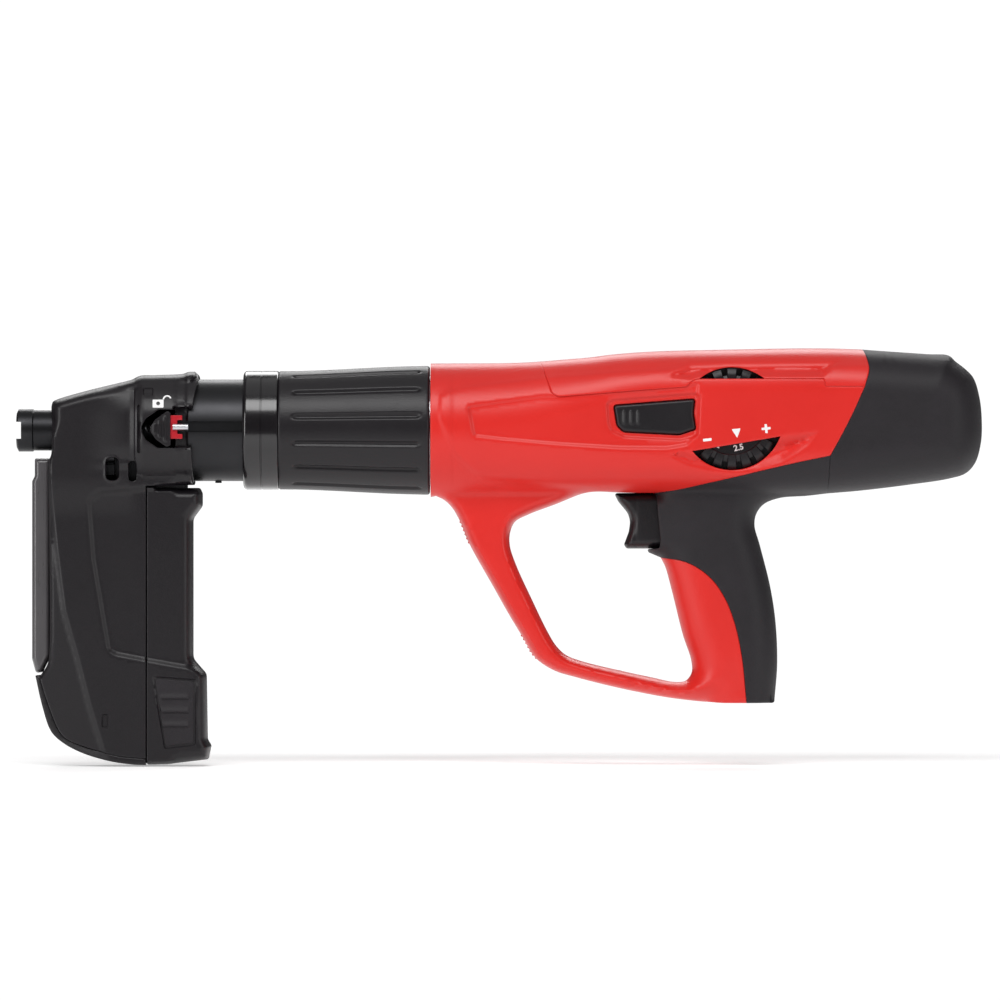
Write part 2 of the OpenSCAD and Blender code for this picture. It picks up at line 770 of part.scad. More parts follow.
module front_window() {
  color("lightgray") difference() {
    side(-6, 6) polygon([
      [plate_x, -14], [plate_x - 7, -14], [plate_x - 8.3, -25], [plate_x - 8.3, -113],
      [plate_x - 6.7, -119.8], [plate_x, -119.3]
    ]);
    side(-4, 4) polygon([
      [plate_x + 1, -17], [plate_x - 5, -17], [plate_x - 6.3, -26], [plate_x - 6.3, -112],
      [plate_x - 5, -117], [plate_x + 1, -117]
    ]);
  }
}
module base_guard() {
  inner = mag_w / 2 - mag_wall;
  color("black") difference() {
    intersection() {
      side(-mag_w / 2, mag_w / 2)
        polygon(concat(guard_strip, [for (i = [9:-1:4]) slab_outline[i]]));
      front_taper();
    }
    box(channel_x0 + nail_wall, seam_x + 5, -nail_w / 2, nail_w / 2, -mag_low - 1, -channel_low + 1);
    for (s = [-1, 1]) mirror([0, s < 0 ? 1 : 0, 0])
      box(seam_x - 6.5, seam_x + 1, inner - 3.2, inner, -mag_low - 1, -30);
  }
}
module nosepiece() {
  color("silver") difference() {
    turned([
      [-lip_len, bore_r], [-lip_len, nose_r - 1.4], [-lip_len + 1, nose_r + 0.5], [5.5, nose_r + 0.5],
      [6, nose_r], [channel_x1, nose_r], [channel_x1, bore_r]
    ]);
    box(-lip_len - 1, 0, -big, big, -bore_r, bore_r);
    box(channel_x0 + 3.5, channel_x1 + 1, -nail_w / 2 + 0.3, nail_w / 2 - 0.3, -nose_r - 1, 0);
  }
}
module nail_channel() {
  color("gray") difference() {
    channel_outer();
    box(channel_x0 + nail_wall, channel_x1 - nail_wall, -nail_w / 2, nail_w / 2, -channel_low - 1, 0);
    rod_x(0, collar_x, nose_r);
    box(37, 47, -nail_w, -nail_w / 2 + 0.5, -channel_low - 1, -14);
  }
}
module nail_follower() {
  color("silver") {
    box(channel_x0 + nail_wall + gap, channel_x1 - nail_wall - gap, -nail_w / 2 + gap, nail_w / 2 - gap,
      -22, -10.6);
    box(38, 46, -9, -nail_w / 2 + gap + 1, -22, -17);
  }
}
roller_y = -mag_w / 2 + mag_wall + 4.1;
roller_z = -12.5;
module rod_roller(r) {
  translate([0, roller_y, roller_z]) rod_x(33, 51, r);
}
module roller_pin() {
  color("silver") rod_roller(pin_r - 0.5);
}
module roller_spring() {
  color("gray") {
    translate([0, roller_y, roller_z]) pipe(38, 46, 3.8, pin_r - 0.5);
    box(38.5, 45.5, roller_y + 3.3, roller_y + 3.8, -16.7, roller_z);
  }
}
module magazine_cover() {
  inner = mag_w / 2 - mag_wall;
  color("dimgray") difference() {
    union() {
      difference() {
        side(-mag_w / 2, mag_w / 2) polygon(rear_cover_outline);
        side(-inner, inner) {
          offset(delta = -mag_wall) polygon(rear_cover_outline);
          translate([seam_x - 2, 6 - mag_low]) square([5, mag_low - 36.5]);
        }
      }
      tongue();
    }
    box(seam_x - 1, channel_x1 + gap, -nail_w / 2 - nail_wall - gap, nail_w / 2 + nail_wall + gap,
      -mag_low - 1, -20);
    for (s = [-1, 1]) thumb_pad(s);
  }
}
module thumb_pad(s) {
  y0 = mag_w / 2 - 1;
  mirror([0, s < 0 ? 1 : 0, 0]) side(y0, mag_w / 2 + 0.6) polygon([
    [seam_x + 4.5, -122.5], [collar_x - 3, -123.5], [collar_x - 3.2, 11 - mag_low],
    [seam_x + 9.5, 9.5 - mag_low]
  ]);
}
module thumb_pads() {
  color("black") for (s = [-1, 1]) difference() {
    thumb_pad(s);
    mirror([0, s < 0 ? 1 : 0, 0])
      for (z = [-128.5, -135.5, -142.5, -149])
        box(seam_x + 8, collar_x - 5, mag_w / 2 - 0.4, mag_w, z, z + 3);
  }
}

// ---- release catch ----
catch_y = -head_r + 0.3;
module release_catch() {
  color("black") difference() {
    side(catch_y, -head_r + 5.7)
      polygon([[catch_tip, 0.5], [65, 7.5], [73.9, 9.5], [73.9, -8.5], [65, -6.5]]);
    translate([0, -head_r + 3.6, 0.5]) rod_x(60, 71, 1.9);
    for (x = [65.5, 68, 70.5]) box(x, x + 1, -big, catch_y + 0.8, -5, 6);
  }
}
module catch_indicator() {
  color("red") difference() {
    box(73.9, 80.3, catch_y - 0.2, catch_y + 2, -4.6, 7.4);
    box(75.5, 81, catch_y - 1, catch_y + 3, -1.6, 4.4);
  }
}
module lock_pin() {
  color("silver") translate([0, catch_y + 1.4, 1.4]) rod_x(75.5, collar_x - 5.5, 1.6);
}
module catch_spring() {
  color("silver") translate([pocket_x, -head_r + 3.6, 0.5]) rotate([0, 90, 0])
    coil(1.3, 0.5, 71 - pocket_x, 5, 16, 8);
}

// ---- controls ----
module trigger() {
  color("dimgray") side(-trigger_w / 2, trigger_w / 2) trigger_outline();
}
module trigger_bar() {
  rear = breech_rear + 12;
  color("silver") side(trigger_w / 2, trigger_w / 2 + 2.5) polygon([
    [h + 114, -40], [h + 122, -40], [h + 122, -27.3], [rear, -27.3], [rear, -23.5], [h + 114, -23.5]
  ]);
}
module trigger_spring() {
  color("silver") translate([trigger_rear, 0, -44]) rotate([0, 90, 0]) coil(3.4, 0.7, 15, 6);
}
module sear() {
  x = breech_rear + 12;
  color("silver") difference() {
    side(-5, 5) polygon([
      [x - 4, -14.5], [x + 3, -14.5], [x + 4, -19], [x + 2.5, -25.5], [x - 2, -25.5], [x - 4, -19]
    ]);
    rod_y(x, -17.5, -10, 10, pin_r + run_fit);
  }
}
module power_wheel() {
  y0 = wheel_y - wheel_t;
  color("dimgray") difference() {
    union() {
      rod_y(wheel_x, wheel_z, y0, wheel_y, wheel_r - 1.4);
      for (i = [0:wheel_lumps - 1])
        let (a = 360 * i / wheel_lumps)
          rod_y(wheel_x + (wheel_r - 2.4) * cos(a), wheel_z + (wheel_r - 2.4) * sin(a), y0, wheel_y, 2.4);
    }
    rod_y(wheel_x, wheel_z, y0 - 1, 0, pin_r + 1 + run_fit);
    difference() {
      rod_y(wheel_x, wheel_z, y0 - 1, y0 + 0.8, wheel_r - 5.4);
      rod_y(wheel_x, wheel_z, y0 - 2, y0 + 2, 7);
    }
  }
}
module release_button() {
  y_out = -body_half - 0.7;
  y_in = wheel_y - wheel_t - 2 * gap - button_stroke;
  color("dimgray") difference() {
    union() {
      side(y_out, y_in) polygon(button_outline);
      side(-body_half + wall + 0.5, -26) polygon([
        [h + 88, 14], [h + 120, 16.6], [h + 120, -4.5], [h + 93, -3], [h + 88, 1]
      ]);
      side(y_out, -26) polygon([
        [h + 89.5, 12], [h + 120, 14.3], [h + 120, -2], [h + 94, -1], [h + 91, 2], [h + 89.5, 9]
      ]);
    }
    for (x = [94.5, 98, 101.5]) box(h + x, h + x + 1.4, y_out - 1, y_out + 0.6, 2.5, 9.5);
  }
}
module button_spring() {
  color("silver") translate([button_x, -26, button_z]) rotate([-90, 0, 0])
    coil(4, 0.7, 26 - receiver_r, 4);
}
module firing_pin() {
  color("silver") union() {
    rod_x(strip_x0 + 8, breech_rear + 8, firing_pin_r);
    rod_x(breech_rear + 1, breech_rear + 7, 7.6);
    rod_x(breech_rear + 7, breech_rear + 20, firing_pin_r);
  }
}
module firing_pin_spring() {
  color("silver") translate([breech_rear + 7, 0, 0]) rotate([0, 90, 0]) coil(5.6, 0.8, 30 + firing_stroke, 9);
}
module feed_lever() {
  x = strip_x0 - 13.3;
  color("silver") difference() {
    side(-12, -9.1) polygon([
      [x - 8, -20.5], [x - 3, -20], [x + 3, -20.4], [x + 8, -23], [x + 8, -25.5], [x + 3, -26.4],
      [x - 3, -26.4], [x - 8, -23]
    ]);
    rod_y(x, -23.5, -20, 0, pin_r + run_fit);
  }
}

housing_left();
housing_right();
top_cover();
rear_cap();
grip();
housing_screws();
bayonet_ring();
receiver_tube();
cartridge_guide();
breech_block();
firing_pin_tube();
wheel_bracket();
wheel_axle();
wheel_detent();
sear_pin();
feed_lever_pin();
front_ring();
ribbed_sleeve();
return_tube();
guide_sleeve();
piston_guide();
buffer();
contact_spring();
piston();
piston_rings();
magazine_left();
magazine_right();
front_window();
base_guard();
nosepiece();
nail_channel();
magazine_screws();
roller_pin();
roller_spring();
magazine_cover();
thumb_pads();
nail_follower();
release_catch();
catch_indicator();
lock_pin();
catch_spring();
trigger();
trigger_bar();
trigger_spring();
sear();
power_wheel();
release_button();
button_spring();
firing_pin();
firing_pin_spring();
feed_lever();
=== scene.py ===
"""Powder-actuated nail gun: the looks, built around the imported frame."""

import math

import bmesh
import bpy
import numpy as np
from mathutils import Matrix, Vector
from mathutils.geometry import delaunay_2d_cdt


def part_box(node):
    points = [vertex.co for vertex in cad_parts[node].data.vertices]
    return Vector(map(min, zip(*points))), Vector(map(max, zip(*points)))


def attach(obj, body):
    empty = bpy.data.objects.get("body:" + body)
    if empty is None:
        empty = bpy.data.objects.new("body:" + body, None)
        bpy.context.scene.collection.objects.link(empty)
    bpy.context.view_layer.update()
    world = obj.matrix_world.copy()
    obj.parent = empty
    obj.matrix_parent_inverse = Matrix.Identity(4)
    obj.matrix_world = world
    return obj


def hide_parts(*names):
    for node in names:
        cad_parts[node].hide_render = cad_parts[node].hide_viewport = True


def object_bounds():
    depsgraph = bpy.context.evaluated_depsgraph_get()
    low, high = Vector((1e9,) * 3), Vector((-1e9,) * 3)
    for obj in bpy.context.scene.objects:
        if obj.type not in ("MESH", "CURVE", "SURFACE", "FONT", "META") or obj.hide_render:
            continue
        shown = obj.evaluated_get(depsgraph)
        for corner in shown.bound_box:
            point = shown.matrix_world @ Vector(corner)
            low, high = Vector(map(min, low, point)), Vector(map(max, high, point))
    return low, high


bl_info = {
    "name": "Nail Gun",
    "version": (1, 0, 0),
    "blender": (4, 5, 0),
    "location": "View3D > Sidebar > Nail Gun",
    "description": "Builds a powder-actuated nail gun around its packed frame",
    "category": "Add Mesh",
}

MM = 0.001
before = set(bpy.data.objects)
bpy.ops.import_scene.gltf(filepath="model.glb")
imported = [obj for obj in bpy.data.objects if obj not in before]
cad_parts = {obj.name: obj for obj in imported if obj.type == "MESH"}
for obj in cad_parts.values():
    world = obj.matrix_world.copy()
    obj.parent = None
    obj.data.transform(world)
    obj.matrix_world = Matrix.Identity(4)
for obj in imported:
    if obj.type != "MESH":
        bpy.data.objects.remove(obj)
CAD_BOX = [list(corner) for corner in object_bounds()]


def node_box(name):
    """Lowest and highest corners of a frame node, in millimetres."""
    low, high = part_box(name)
    return [value / MM for value in low], [value / MM for value in high]


# ---------------------------------------------------------------- places
SHELL_LOW, SHELL_HIGH = node_box("housing_left")
WHEEL_LOW, WHEEL_HIGH = node_box("power_wheel")
FRONT_X = SHELL_LOW[0]
BASE_Z = SHELL_LOW[2]
WHEEL_R = (WHEEL_HIGH[0] - WHEEL_LOW[0]) / 2
DIAL = ((WHEEL_LOW[0] + WHEEL_HIGH[0]) / 2, (WHEEL_LOW[2] + WHEEL_HIGH[2]) / 2)
DIAL_FACE = -WHEEL_LOW[1]
WINDOW_R = WHEEL_R + 0.6


# ---------------------------------------------------------------- outlines
def path(points, step=0.9):
    """A smooth line through points, evenly spaced. A third value of 1 makes a corner."""
    points = [tuple(p) for p in points]
    runs, run = [], [points[0]]
    for p in points[1:]:
        run.append(p)
        if len(p) > 2:
            runs.append(run)
            run = [p]
    if len(run) > 1:
        runs.append(run)
    out = []
    for run in runs:
        dense = spline(np.array([p[:2] for p in run], float))
        dense = resample(dense, step)
        out.append(dense if not out else dense[1:])
    return np.vstack(out)


def spline(p):
    """Centripetal Catmull-Rom through the points p."""
    if len(p) < 3:
        return p
    ends = np.vstack([2 * p[0] - p[1], p, 2 * p[-1] - p[-2]])
    out = [p[:1]]
    for i in range(1, len(ends) - 2):
        a, b, c, d = ends[i - 1], ends[i], ends[i + 1], ends[i + 2]
        t0 = 0.0
        t1 = t0 + math.sqrt(np.linalg.norm(b - a)) + 1e-9
        t2 = t1 + math.sqrt(np.linalg.norm(c - b)) + 1e-9
        t3 = t2 + math.sqrt(np.linalg.norm(d - c)) + 1e-9
        t = np.linspace(t1, t2, 24)[1:, None]
        ab = (t1 - t) / (t1 - t0) * a + (t - t0) / (t1 - t0) * b
        bc = (t2 - t) / (t2 - t1) * b + (t - t1) / (t2 - t1) * c
        cd = (t3 - t) / (t3 - t2) * c + (t - t2) / (t3 - t2) * d
        abc = (t2 - t) / (t2 - t0) * ab + (t - t0) / (t2 - t0) * bc
        bcd = (t3 - t) / (t3 - t1) * bc + (t - t1) / (t3 - t1) * cd
        out.append((t2 - t) / (t2 - t1) * abc + (t - t1) / (t2 - t1) * bcd)
    return np.vstack(out)


def resample(p, step):
    """The same line with evenly spaced points, about step apart."""
    lengths = np.linalg.norm(np.diff(p, axis=0), axis=1)
    total = np.concatenate([[0], np.cumsum(lengths)])
    count = max(int(round(total[-1] / step)), 1)
    at = np.linspace(0, total[-1], count + 1)
    return np.stack([np.interp(at, total, p[:, i]) for i in range(2)], axis=1)


def rounded(points, radius, step=0.7, closed=True):
    """A polygon with round corners. radius is one number or one for each corner."""
    p = np.array(points, float)
    n = len(p)
    radii = [radius] * n if np.isscalar(radius) else radius
    out = []
    for i in range(n):
        if not closed and i in (0, n - 1):
            out.append(p[i][None])
            continue
        a, b, c = p[i - 1], p[i], p[(i + 1) % n]
        u, v = a - b, c - b
        lu, lv = np.linalg.norm(u), np.linalg.norm(v)
        u, v = u / lu, v / lv
        cos = float(np.clip(u @ v, -1, 1))
        half = math.acos(cos) / 2
        if radii[i] <= 0 or abs(math.pi / 2 - half) < 0.02:
            out.append(b[None])
            continue
        cut = min(radii[i] / math.tan(half), 0.45 * lu, 0.45 * lv)
        s = np.linspace(0, 1, 9)[:, None]
        out.append((1 - s) ** 2 * (b + u * cut) + 2 * s * (1 - s) * b + s ** 2 * (b + v * cut))
    line = np.vstack(out)
    if closed:
        line = np.vstack([line, line[:1]])
        return resample(line, step)[:-1]
    return resample(line, step)


def arc(cx, cz, r, start, end, step=0.8):
    """Points along an arc, from one angle to another in degrees."""
    count = max(int(abs(math.radians(end - start)) * r / step), 4)
    angles = np.radians(np.linspace(start, end, count + 1))
    return np.stack([cx + r * np.cos(angles), cz + r * np.sin(angles)], axis=1)


def join(*lines):
    """One closed outline from lines laid end to end."""
    pts = np.vstack([np.asarray(line, float)[:, :2] for line in lines])
    keep = [0]
    for i in range(1, len(pts)):
        if np.linalg.norm(pts[i] - pts[keep[-1]]) > 0.12:
            keep.append(i)
    if np.linalg.norm(pts[keep[-1]] - pts[keep[0]]) < 0.12:
        keep.pop()
    return pts[keep]


def distance(points, line, closed=False):
    """Distance from each point to a line."""
    points = np.asarray(points, float)
    line = np.asarray(line, float)
    if closed:
        line = np.vstack([line, line[:1]])
    a, b = line[:-1], line[1:]
    ab = b - a
    size = np.maximum((ab ** 2).sum(1), 1e-12)
    out = np.empty(len(points))
    for i in range(0, len(points), 4000):
        q = points[i:i + 4000]
        t = ((q[:, None] - a) * ab).sum(2) / size
        t = np.clip(t, 0, 1)
        near = a + t[..., None] * ab
        out[i:i + 4000] = np.sqrt(((q[:, None] - near) ** 2).sum(2).min(1))
    return out


def inside(points, loop):
    """Which points lie inside a closed loop."""
    points = np.asarray(points, float)
    x, z = points[:, 0], points[:, 1]
    hit = np.zeros(len(points), bool)
    for a, b in zip(loop, np.roll(loop, -1, axis=0)):
        if a[1] == b[1]:
            continue
        cross = ((a[1] > z) != (b[1] > z)) & (x < (b[0] - a[0]) * (z - a[1]) / (b[1] - a[1]) + a[0])
        hit ^= cross
    return hit


def depth_in(points, loop):
    """Distance to a closed loop, positive inside it."""
    return distance(points, loop, True) * np.where(inside(points, loop), 1.0, -1.0)


def ease(t):
    """A slope from 0 to 1 with soft ends."""
    t = np.clip(t, 0, 1)
    return 0.5 * t + 0.5 * t * t * (3 - 2 * t)


def smooth(t):
    """A slope from 0 to 1 with level ends."""
    t = np.clip(t, 0, 1)
    return t * t * (3 - 2 * t)


def dome(t, power=2.0):
    """A rounded edge: 0 at the rim with an upright slope, 1 from t = 1 on."""
    t = np.clip(t, 0, 1)
    return (1 - (1 - t) ** power) ** (1 / power)


def soft_max(a, b, blend):
    """The larger of two surfaces, with a fillet where they meet."""
    k = np.minimum(blend, 0.5 * np.maximum(np.maximum(a, b), 0)) + 1e-6
    gap = np.maximum(k - np.abs(a - b), 0)
    return np.maximum(a, b) + gap * gap / (4 * k)


# ---------------------------------------------------------------- moulded sheets
def ring_points(loop, offsets):
    """Points along a loop, moved inward by each offset."""
    before, after = np.roll(loop, 1, axis=0), np.roll(loop, -1, axis=0)
    along = after - before
    along /= np.maximum(np.linalg.norm(along, axis=1), 1e-9)[:, None]
    area = 0.5 * np.sum(loop[:, 0] * after[:, 1] - after[:, 0] * loop[:, 1])
    normal = np.stack([-along[:, 1], along[:, 0]], axis=1) * (1 if area > 0 else -1)
    out = []
    for d in offsets:
        p = loop + normal * d
        out.append(p[distance(p, loop, True) > abs(d) * 0.93])
    return out


def thin(points, spacing, taken):
    """Points that keep their distance from those already taken."""
    out = []
    for p, s in zip(points, spacing):
        key = (int(p[0] // 2), int(p[1] // 2))
        clear = True
        for i in (-1, 0, 1):
            for j in (-1, 0, 1):
                for q in taken.get((key[0] + i, key[1] + j), ()):
                    if (q[0] - p[0]) ** 2 + (q[1] - p[1]) ** 2 < s * s:
                        clear = False
        if clear:
            taken.setdefault(key, []).append(p)
            out.append(p)
    return out


def net(outline, holes=(), pitch=1.4, rings=(0.08, 0.25, 0.55), folds=()):
    """A flat triangle net of an outline, fine along its rims and along folds.

    folds holds (line, closed, offsets) for each crease that the height has.
    """
    loops = [outline] + list(holes)
    fixed, edges = [], []
    for loop in loops:
        start = len(fixed)
        fixed += [tuple(p) for p in loop]
        n = len(loop)
        edges += [(start + i, start + (i + 1) % n) for i in range(n)]
    free = []
    rim = max(rings) if rings else 0.0
    for k, loop in enumerate(loops):
        sign = 1 if k == 0 else -1
        for ring in ring_points(loop, [sign * d for d in rings]):
            free.append(ring)
    free = np.vstack(free) if free else np.zeros((0, 2))
    taken, extra = {}, []
    for line, closed, offsets in folds:
        line = np.asarray(line, float)
        before = np.roll(line, 1, axis=0)
        after = np.roll(line, -1, axis=0)
        if not closed:
            before[0], after[-1] = line[0], line[-1]
        along = after - before
        along /= np.maximum(np.linalg.norm(along, axis=1), 1e-9)[:, None]
        normal = np.stack([-along[:, 1], along[:, 0]], axis=1)
        for d in offsets:
            extra += thin(line + normal * d, [0.3] * len(line), taken)
    low, high = outline.min(0), outline.max(0)
    rows = np.arange(low[1], high[1], pitch * 0.866)
    for k, z in enumerate(rows):
        xs = np.arange(low[0] + (k % 2) * pitch / 2, high[0], pitch)
        extra += thin(np.stack([xs, np.full(len(xs), z)], axis=1), [pitch * 0.62] * len(xs), taken)
    extra = np.array(extra)
    for loop in loops:
        extra = extra[distance(extra, loop, True) > rim + 0.22]
    free = np.vstack([free, extra])
    keep = inside(free, outline)
    for hole in holes:
        keep &= ~inside(free, hole)
    free = free[keep]
    verts = [Vector(p) for p in fixed] + [Vector(p) for p in free]
    result = delaunay_2d_cdt(verts, edges, [], 0, 1e-4)
    flat = np.array([tuple(v) for v in result[0]])
    faces = np.array([f for f in result[2] if len(f) == 3])
    centre = flat[faces].mean(1)
    keep = inside(centre, outline)
    for hole in holes:
        keep &= ~inside(centre, hole)
    faces = faces[keep]
    a, b, c = flat[faces[:, 0]], flat[faces[:, 1]], flat[faces[:, 2]]
    turn = (b[:, 0] - a[:, 0]) * (c[:, 1] - a[:, 1]) - (b[:, 1] - a[:, 1]) * (c[:, 0] - a[:, 0])
    faces[turn < 0] = faces[turn < 0][:, ::-1]
    return flat, faces


def rim_edges(faces):
    """Edges that belong to one face only, in that face's order."""
    seen = {}
    for f in faces:
        for i in range(3):
            a, b = int(f[i]), int(f[(i + 1) % 3])
            if (b, a) in seen:
                del seen[(b, a)]
            else:
                seen[(a, b)] = True
    return list(seen)


def moulded(name, outline, height, sides=(-1,), holes=(), pitch=1.4, rings=(0.08, 0.25, 0.55),
            folds=(), wall=3.0, inner=None, edge=0.5, parting=0.0, sharp=38):
    """A moulded cover: a side face lifted to height(points), with round rims and a wall behind them.

    inner(points, y) gives how far the wall behind a rim reaches, as a Y.
    """
    flat, faces = net(outline, holes, pitch, rings, folds)
    loops = [outline] + list(holes)
    rim = np.min([distance(flat, loop, True) for loop in loops], axis=0)
    y = height(flat)
    drop = edge * (1 - dome(rim / max(edge, 1e-6)))
    y = np.maximum(y - drop, parting)
    skirt = rim_edges(faces)
    foot = np.maximum(y - wall, 0) if inner is None else inner(flat, y)
    verts, polys = [], []
    for side in sides:
        base = len(verts)
        verts += [(p[0] * MM, side * h * MM, p[1] * MM) for p, h in zip(flat, y)]
        flip = side > 0
        for f in faces:
            q = [base + int(i) for i in f]
            polys.append(q[::-1] if flip else q)
        low = {}
        for a, b in skirt:
            if max(y[a] - foot[a], y[b] - foot[b]) < 0.25:
                continue
            for i in (a, b):
                if i not in low:
                    low[i] = len(verts)
                    verts.append((flat[i][0] * MM, side * foot[i] * MM, flat[i][1] * MM))
            q = [base + b, base + a, low[a], low[b]]
            polys.append(q[::-1] if flip else q)
    return mesh_piece(name, verts, polys, sharp, weld=len(sides) > 1 and parting == 0)


def mesh_piece(name, verts, polys, sharp=38, weld=False):
    """A mesh object with smooth faces and sharp edges over an angle."""
    mesh = bpy.data.meshes.new(name)
    mesh.from_pydata(verts, [], polys)
    mesh.validate()
    if weld:
        weld_mesh(mesh)
    mesh.polygons.foreach_set("use_smooth", [True] * len(mesh.polygons))
    mesh.set_sharp_from_angle(angle=math.radians(sharp))
    piece = bpy.data.objects.new(name, mesh)
    bpy.context.scene.collection.objects.link(piece)
    return piece


def weld_mesh(mesh, reach=0.00002):
    """Joins points that lie together."""
    bm = bmesh.new()
    bm.from_mesh(mesh)
    bmesh.ops.remove_doubles(bm, verts=bm.verts, dist=reach)
    bmesh.ops.dissolve_degenerate(bm, edges=bm.edges, dist=1e-7)
    bm.to_mesh(mesh)
    bm.free()


def lathe(name, profile, steps, shape=None, sharp=35):
    """A solid turned about the barrel line from [x, radius] points.

    shape(x, angle) gives how far the surface stands in or out, in millimetres.
    """
    profile = np.array(profile, float)
    n = len(profile)
    angles = np.linspace(0, 2 * math.pi, steps, endpoint=False)
    grid = np.repeat(profile[:, None, :], steps, axis=1)
    radius = grid[..., 1]
    if shape is not None:
        radius = radius + shape(grid[..., 0], np.broadcast_to(angles, (n, steps)))
    x = grid[..., 0]
    verts = np.stack([x, radius * np.sin(angles), radius * np.cos(angles)], axis=2).reshape(-1, 3) * MM
    polys = []
    for i in range(n):
        k = (i + 1) % n
        for j in range(steps):
            m = (j + 1) % steps
            polys.append((i * steps + j, k * steps + j, k * steps + m, i * steps + m))
    return mesh_piece(name, [tuple(v) for v in verts], polys, sharp)


# ---------------------------------------------------------------- finishes
class Value:
    """A number that varies over a surface, so that shader maths reads as an expression."""

    def __init__(self, look, socket):
        self.look, self.socket = look, socket

    def _maths(self, operation, first, second, clamp=False):
        """One Math node on two numbers or values."""
        node = self.look.add("ShaderNodeMath", {"operation": operation, "use_clamp": clamp},
                             {0: first, 1: second})
        return Value(self.look, node.outputs[0])

    def __add__(self, other):
        return self._maths("ADD", self, other)

    def __sub__(self, other):
        return self._maths("SUBTRACT", self, other)

    def __mul__(self, other):
        return self._maths("MULTIPLY", self, other)

    def __truediv__(self, other):
        return self._maths("DIVIDE", self, other)

    def __rsub__(self, other):
        return self._maths("SUBTRACT", other, self)

    def __pow__(self, other):
        return self._maths("POWER", self, other)

    __radd__ = __add__
    __rmul__ = __mul__

    def clear_of(self, low, high):
        """0 below low, 1 above high."""
        return ((self - low) / (high - low))._maths("ADD", (self - low) / (high - low), 0.0, True)


class Look:
    """One material and the nodes that give it its finish."""

    def __init__(self, name):
        self.material = bpy.data.materials.new(name)
        self.material.use_nodes = True
        self.tree = self.material.node_tree
        self.shader = self.tree.nodes["Principled BSDF"]
        self.place = self.add("ShaderNodeTexCoord").outputs["Object"]

    def add(self, kind, settings=None, inputs=None):
        """A node of one kind, with its settings and then its sockets' values or links."""
        node = self.tree.nodes.new(kind)
        for key, value in (settings or {}).items():
            setattr(node, key, value)
        for key, value in (inputs or {}).items():
            self.feed(node.inputs[key], value)
        return node

    def feed(self, socket, value):
        """Sets a socket to a number or links a value to it."""
        if isinstance(value, Value):
            value = value.socket
        if isinstance(value, bpy.types.NodeSocket):
            self.tree.links.new(value, socket)
        else:
            socket.default_value = value

    def set(self, **values):
        """Values or links for the shader's own sockets."""
        for key, value in values.items():
            self.feed(self.shader.inputs[key.replace("_", " ")], value)
        return self

    def stretched(self, x, y, z):
        """The place on the piece, scaled along each axis."""
        node = self.add("ShaderNodeVectorMath", {"operation": "MULTIPLY"},
                        {0: self.place, 1: (x, y, z)})
        return node.outputs[0]

    def noise(self, scale, detail=2.0, rough=0.5, place=None):
        """Soft cloudy noise from 0 to 1."""
        node = self.add("ShaderNodeTexNoise", None, {
            "Vector": self.place if place is None else place,
            "Scale": scale, "Detail": detail, "Roughness": rough})
        return Value(self, node.outputs["Fac"])

    def cells(self, scale):
        """Distance to the nearest of many scattered points."""
        node = self.add("ShaderNodeTexVoronoi", {"feature": "F1"},
                        {"Vector": self.place, "Scale": scale})
        return Value(self, node.outputs["Distance"])

    def edges(self):
        """1 on outer edges, 0 elsewhere."""
        node = self.add("ShaderNodeNewGeometry")
        return Value(self, node.outputs["Pointiness"]).clear_of(0.53, 0.62)

    def blend(self, amount, first, second):
        """The first colour where amount is 0, the second where it is 1."""
        node = self.add("ShaderNodeMix", {"data_type": "RGBA"}, {"Factor": amount})
        self.feed(node.inputs[6], (*first, 1) if isinstance(first, tuple) else first)
        self.feed(node.inputs[7], (*second, 1) if isinstance(second, tuple) else second)
        return node.outputs[2]

    def bump(self, height, depth):
        """Raises the grain by height times depth, in metres."""
        node = self.add("ShaderNodeBump", None, {"Strength": 1.0, "Distance": depth, "Height": height})
        return self.set(Normal=node.outputs[0])


def tint(color, factor):
    """The colour made darker or paler by a factor."""
    return tuple(min(c * factor, 1.0) for c in color[:3])


def moulded_plastic(name, color, rough, grain, depth, mottle=0.06, edge_highlight=1.25, coat=0.0):
    """Moulded plastic with an eroded grain, faint flow marks and edges painted paler in patches as a painted
    highlight.
    """
    look = Look(name)
    flow = look.noise(26, 3.0, 0.55)
    fine = look.noise(grain, 2.0, 0.6)
    scuff_and_highlight_patches = look.noise(190, 4.0, 0.65).clear_of(0.58, 0.78)
    base = look.blend(flow, tint(color, 1 - mottle), tint(color, 1 + mottle))
    # Painted highlight: convex edges get a paler colour, in patches, standing for the light that edges catch.
    base = look.blend(look.edges() * (0.35 + 0.5 * scuff_and_highlight_patches), base, tint(color, edge_highlight))
    look.set(Base_Color=base, Roughness=rough + 0.09 * (fine - 0.5) + 0.08 * (flow - 0.5) + 0.05 * scuff_and_highlight_patches,
             Specular_IOR_Level=0.38)
    if coat:
        look.set(Coat_Weight=coat, Coat_Roughness=0.12)
    look.bump(fine + 0.5 * look.cells(grain * 0.6), depth)
    return look.material


def rubber(name, color, rough=0.56):
    """Soft-touch rubber: a fine pebble grain with slightly shinier high spots, and edges painted paler as a
    painted highlight.
    """
    look = Look(name)
    pebble = look.cells(1500)
    dust = look.noise(60, 5.0, 0.6)
    base = look.blend(dust.clear_of(0.4, 0.75), tint(color, 0.9), tint(color, 1.18))
    # Painted highlight: the edges are painted paler.
    base = look.blend(look.edges() * 0.5, base, tint(color, 1.5))
    look.set(Base_Color=base, Roughness=rough + 0.12 * (dust - 0.5) - 0.06 * look.edges())
    look.set(Sheen_Weight=0.04, Sheen_Roughness=0.45, Specular_IOR_Level=0.36)
    look.bump(pebble + 0.4 * look.noise(2600), 0.00006)
    return look.material


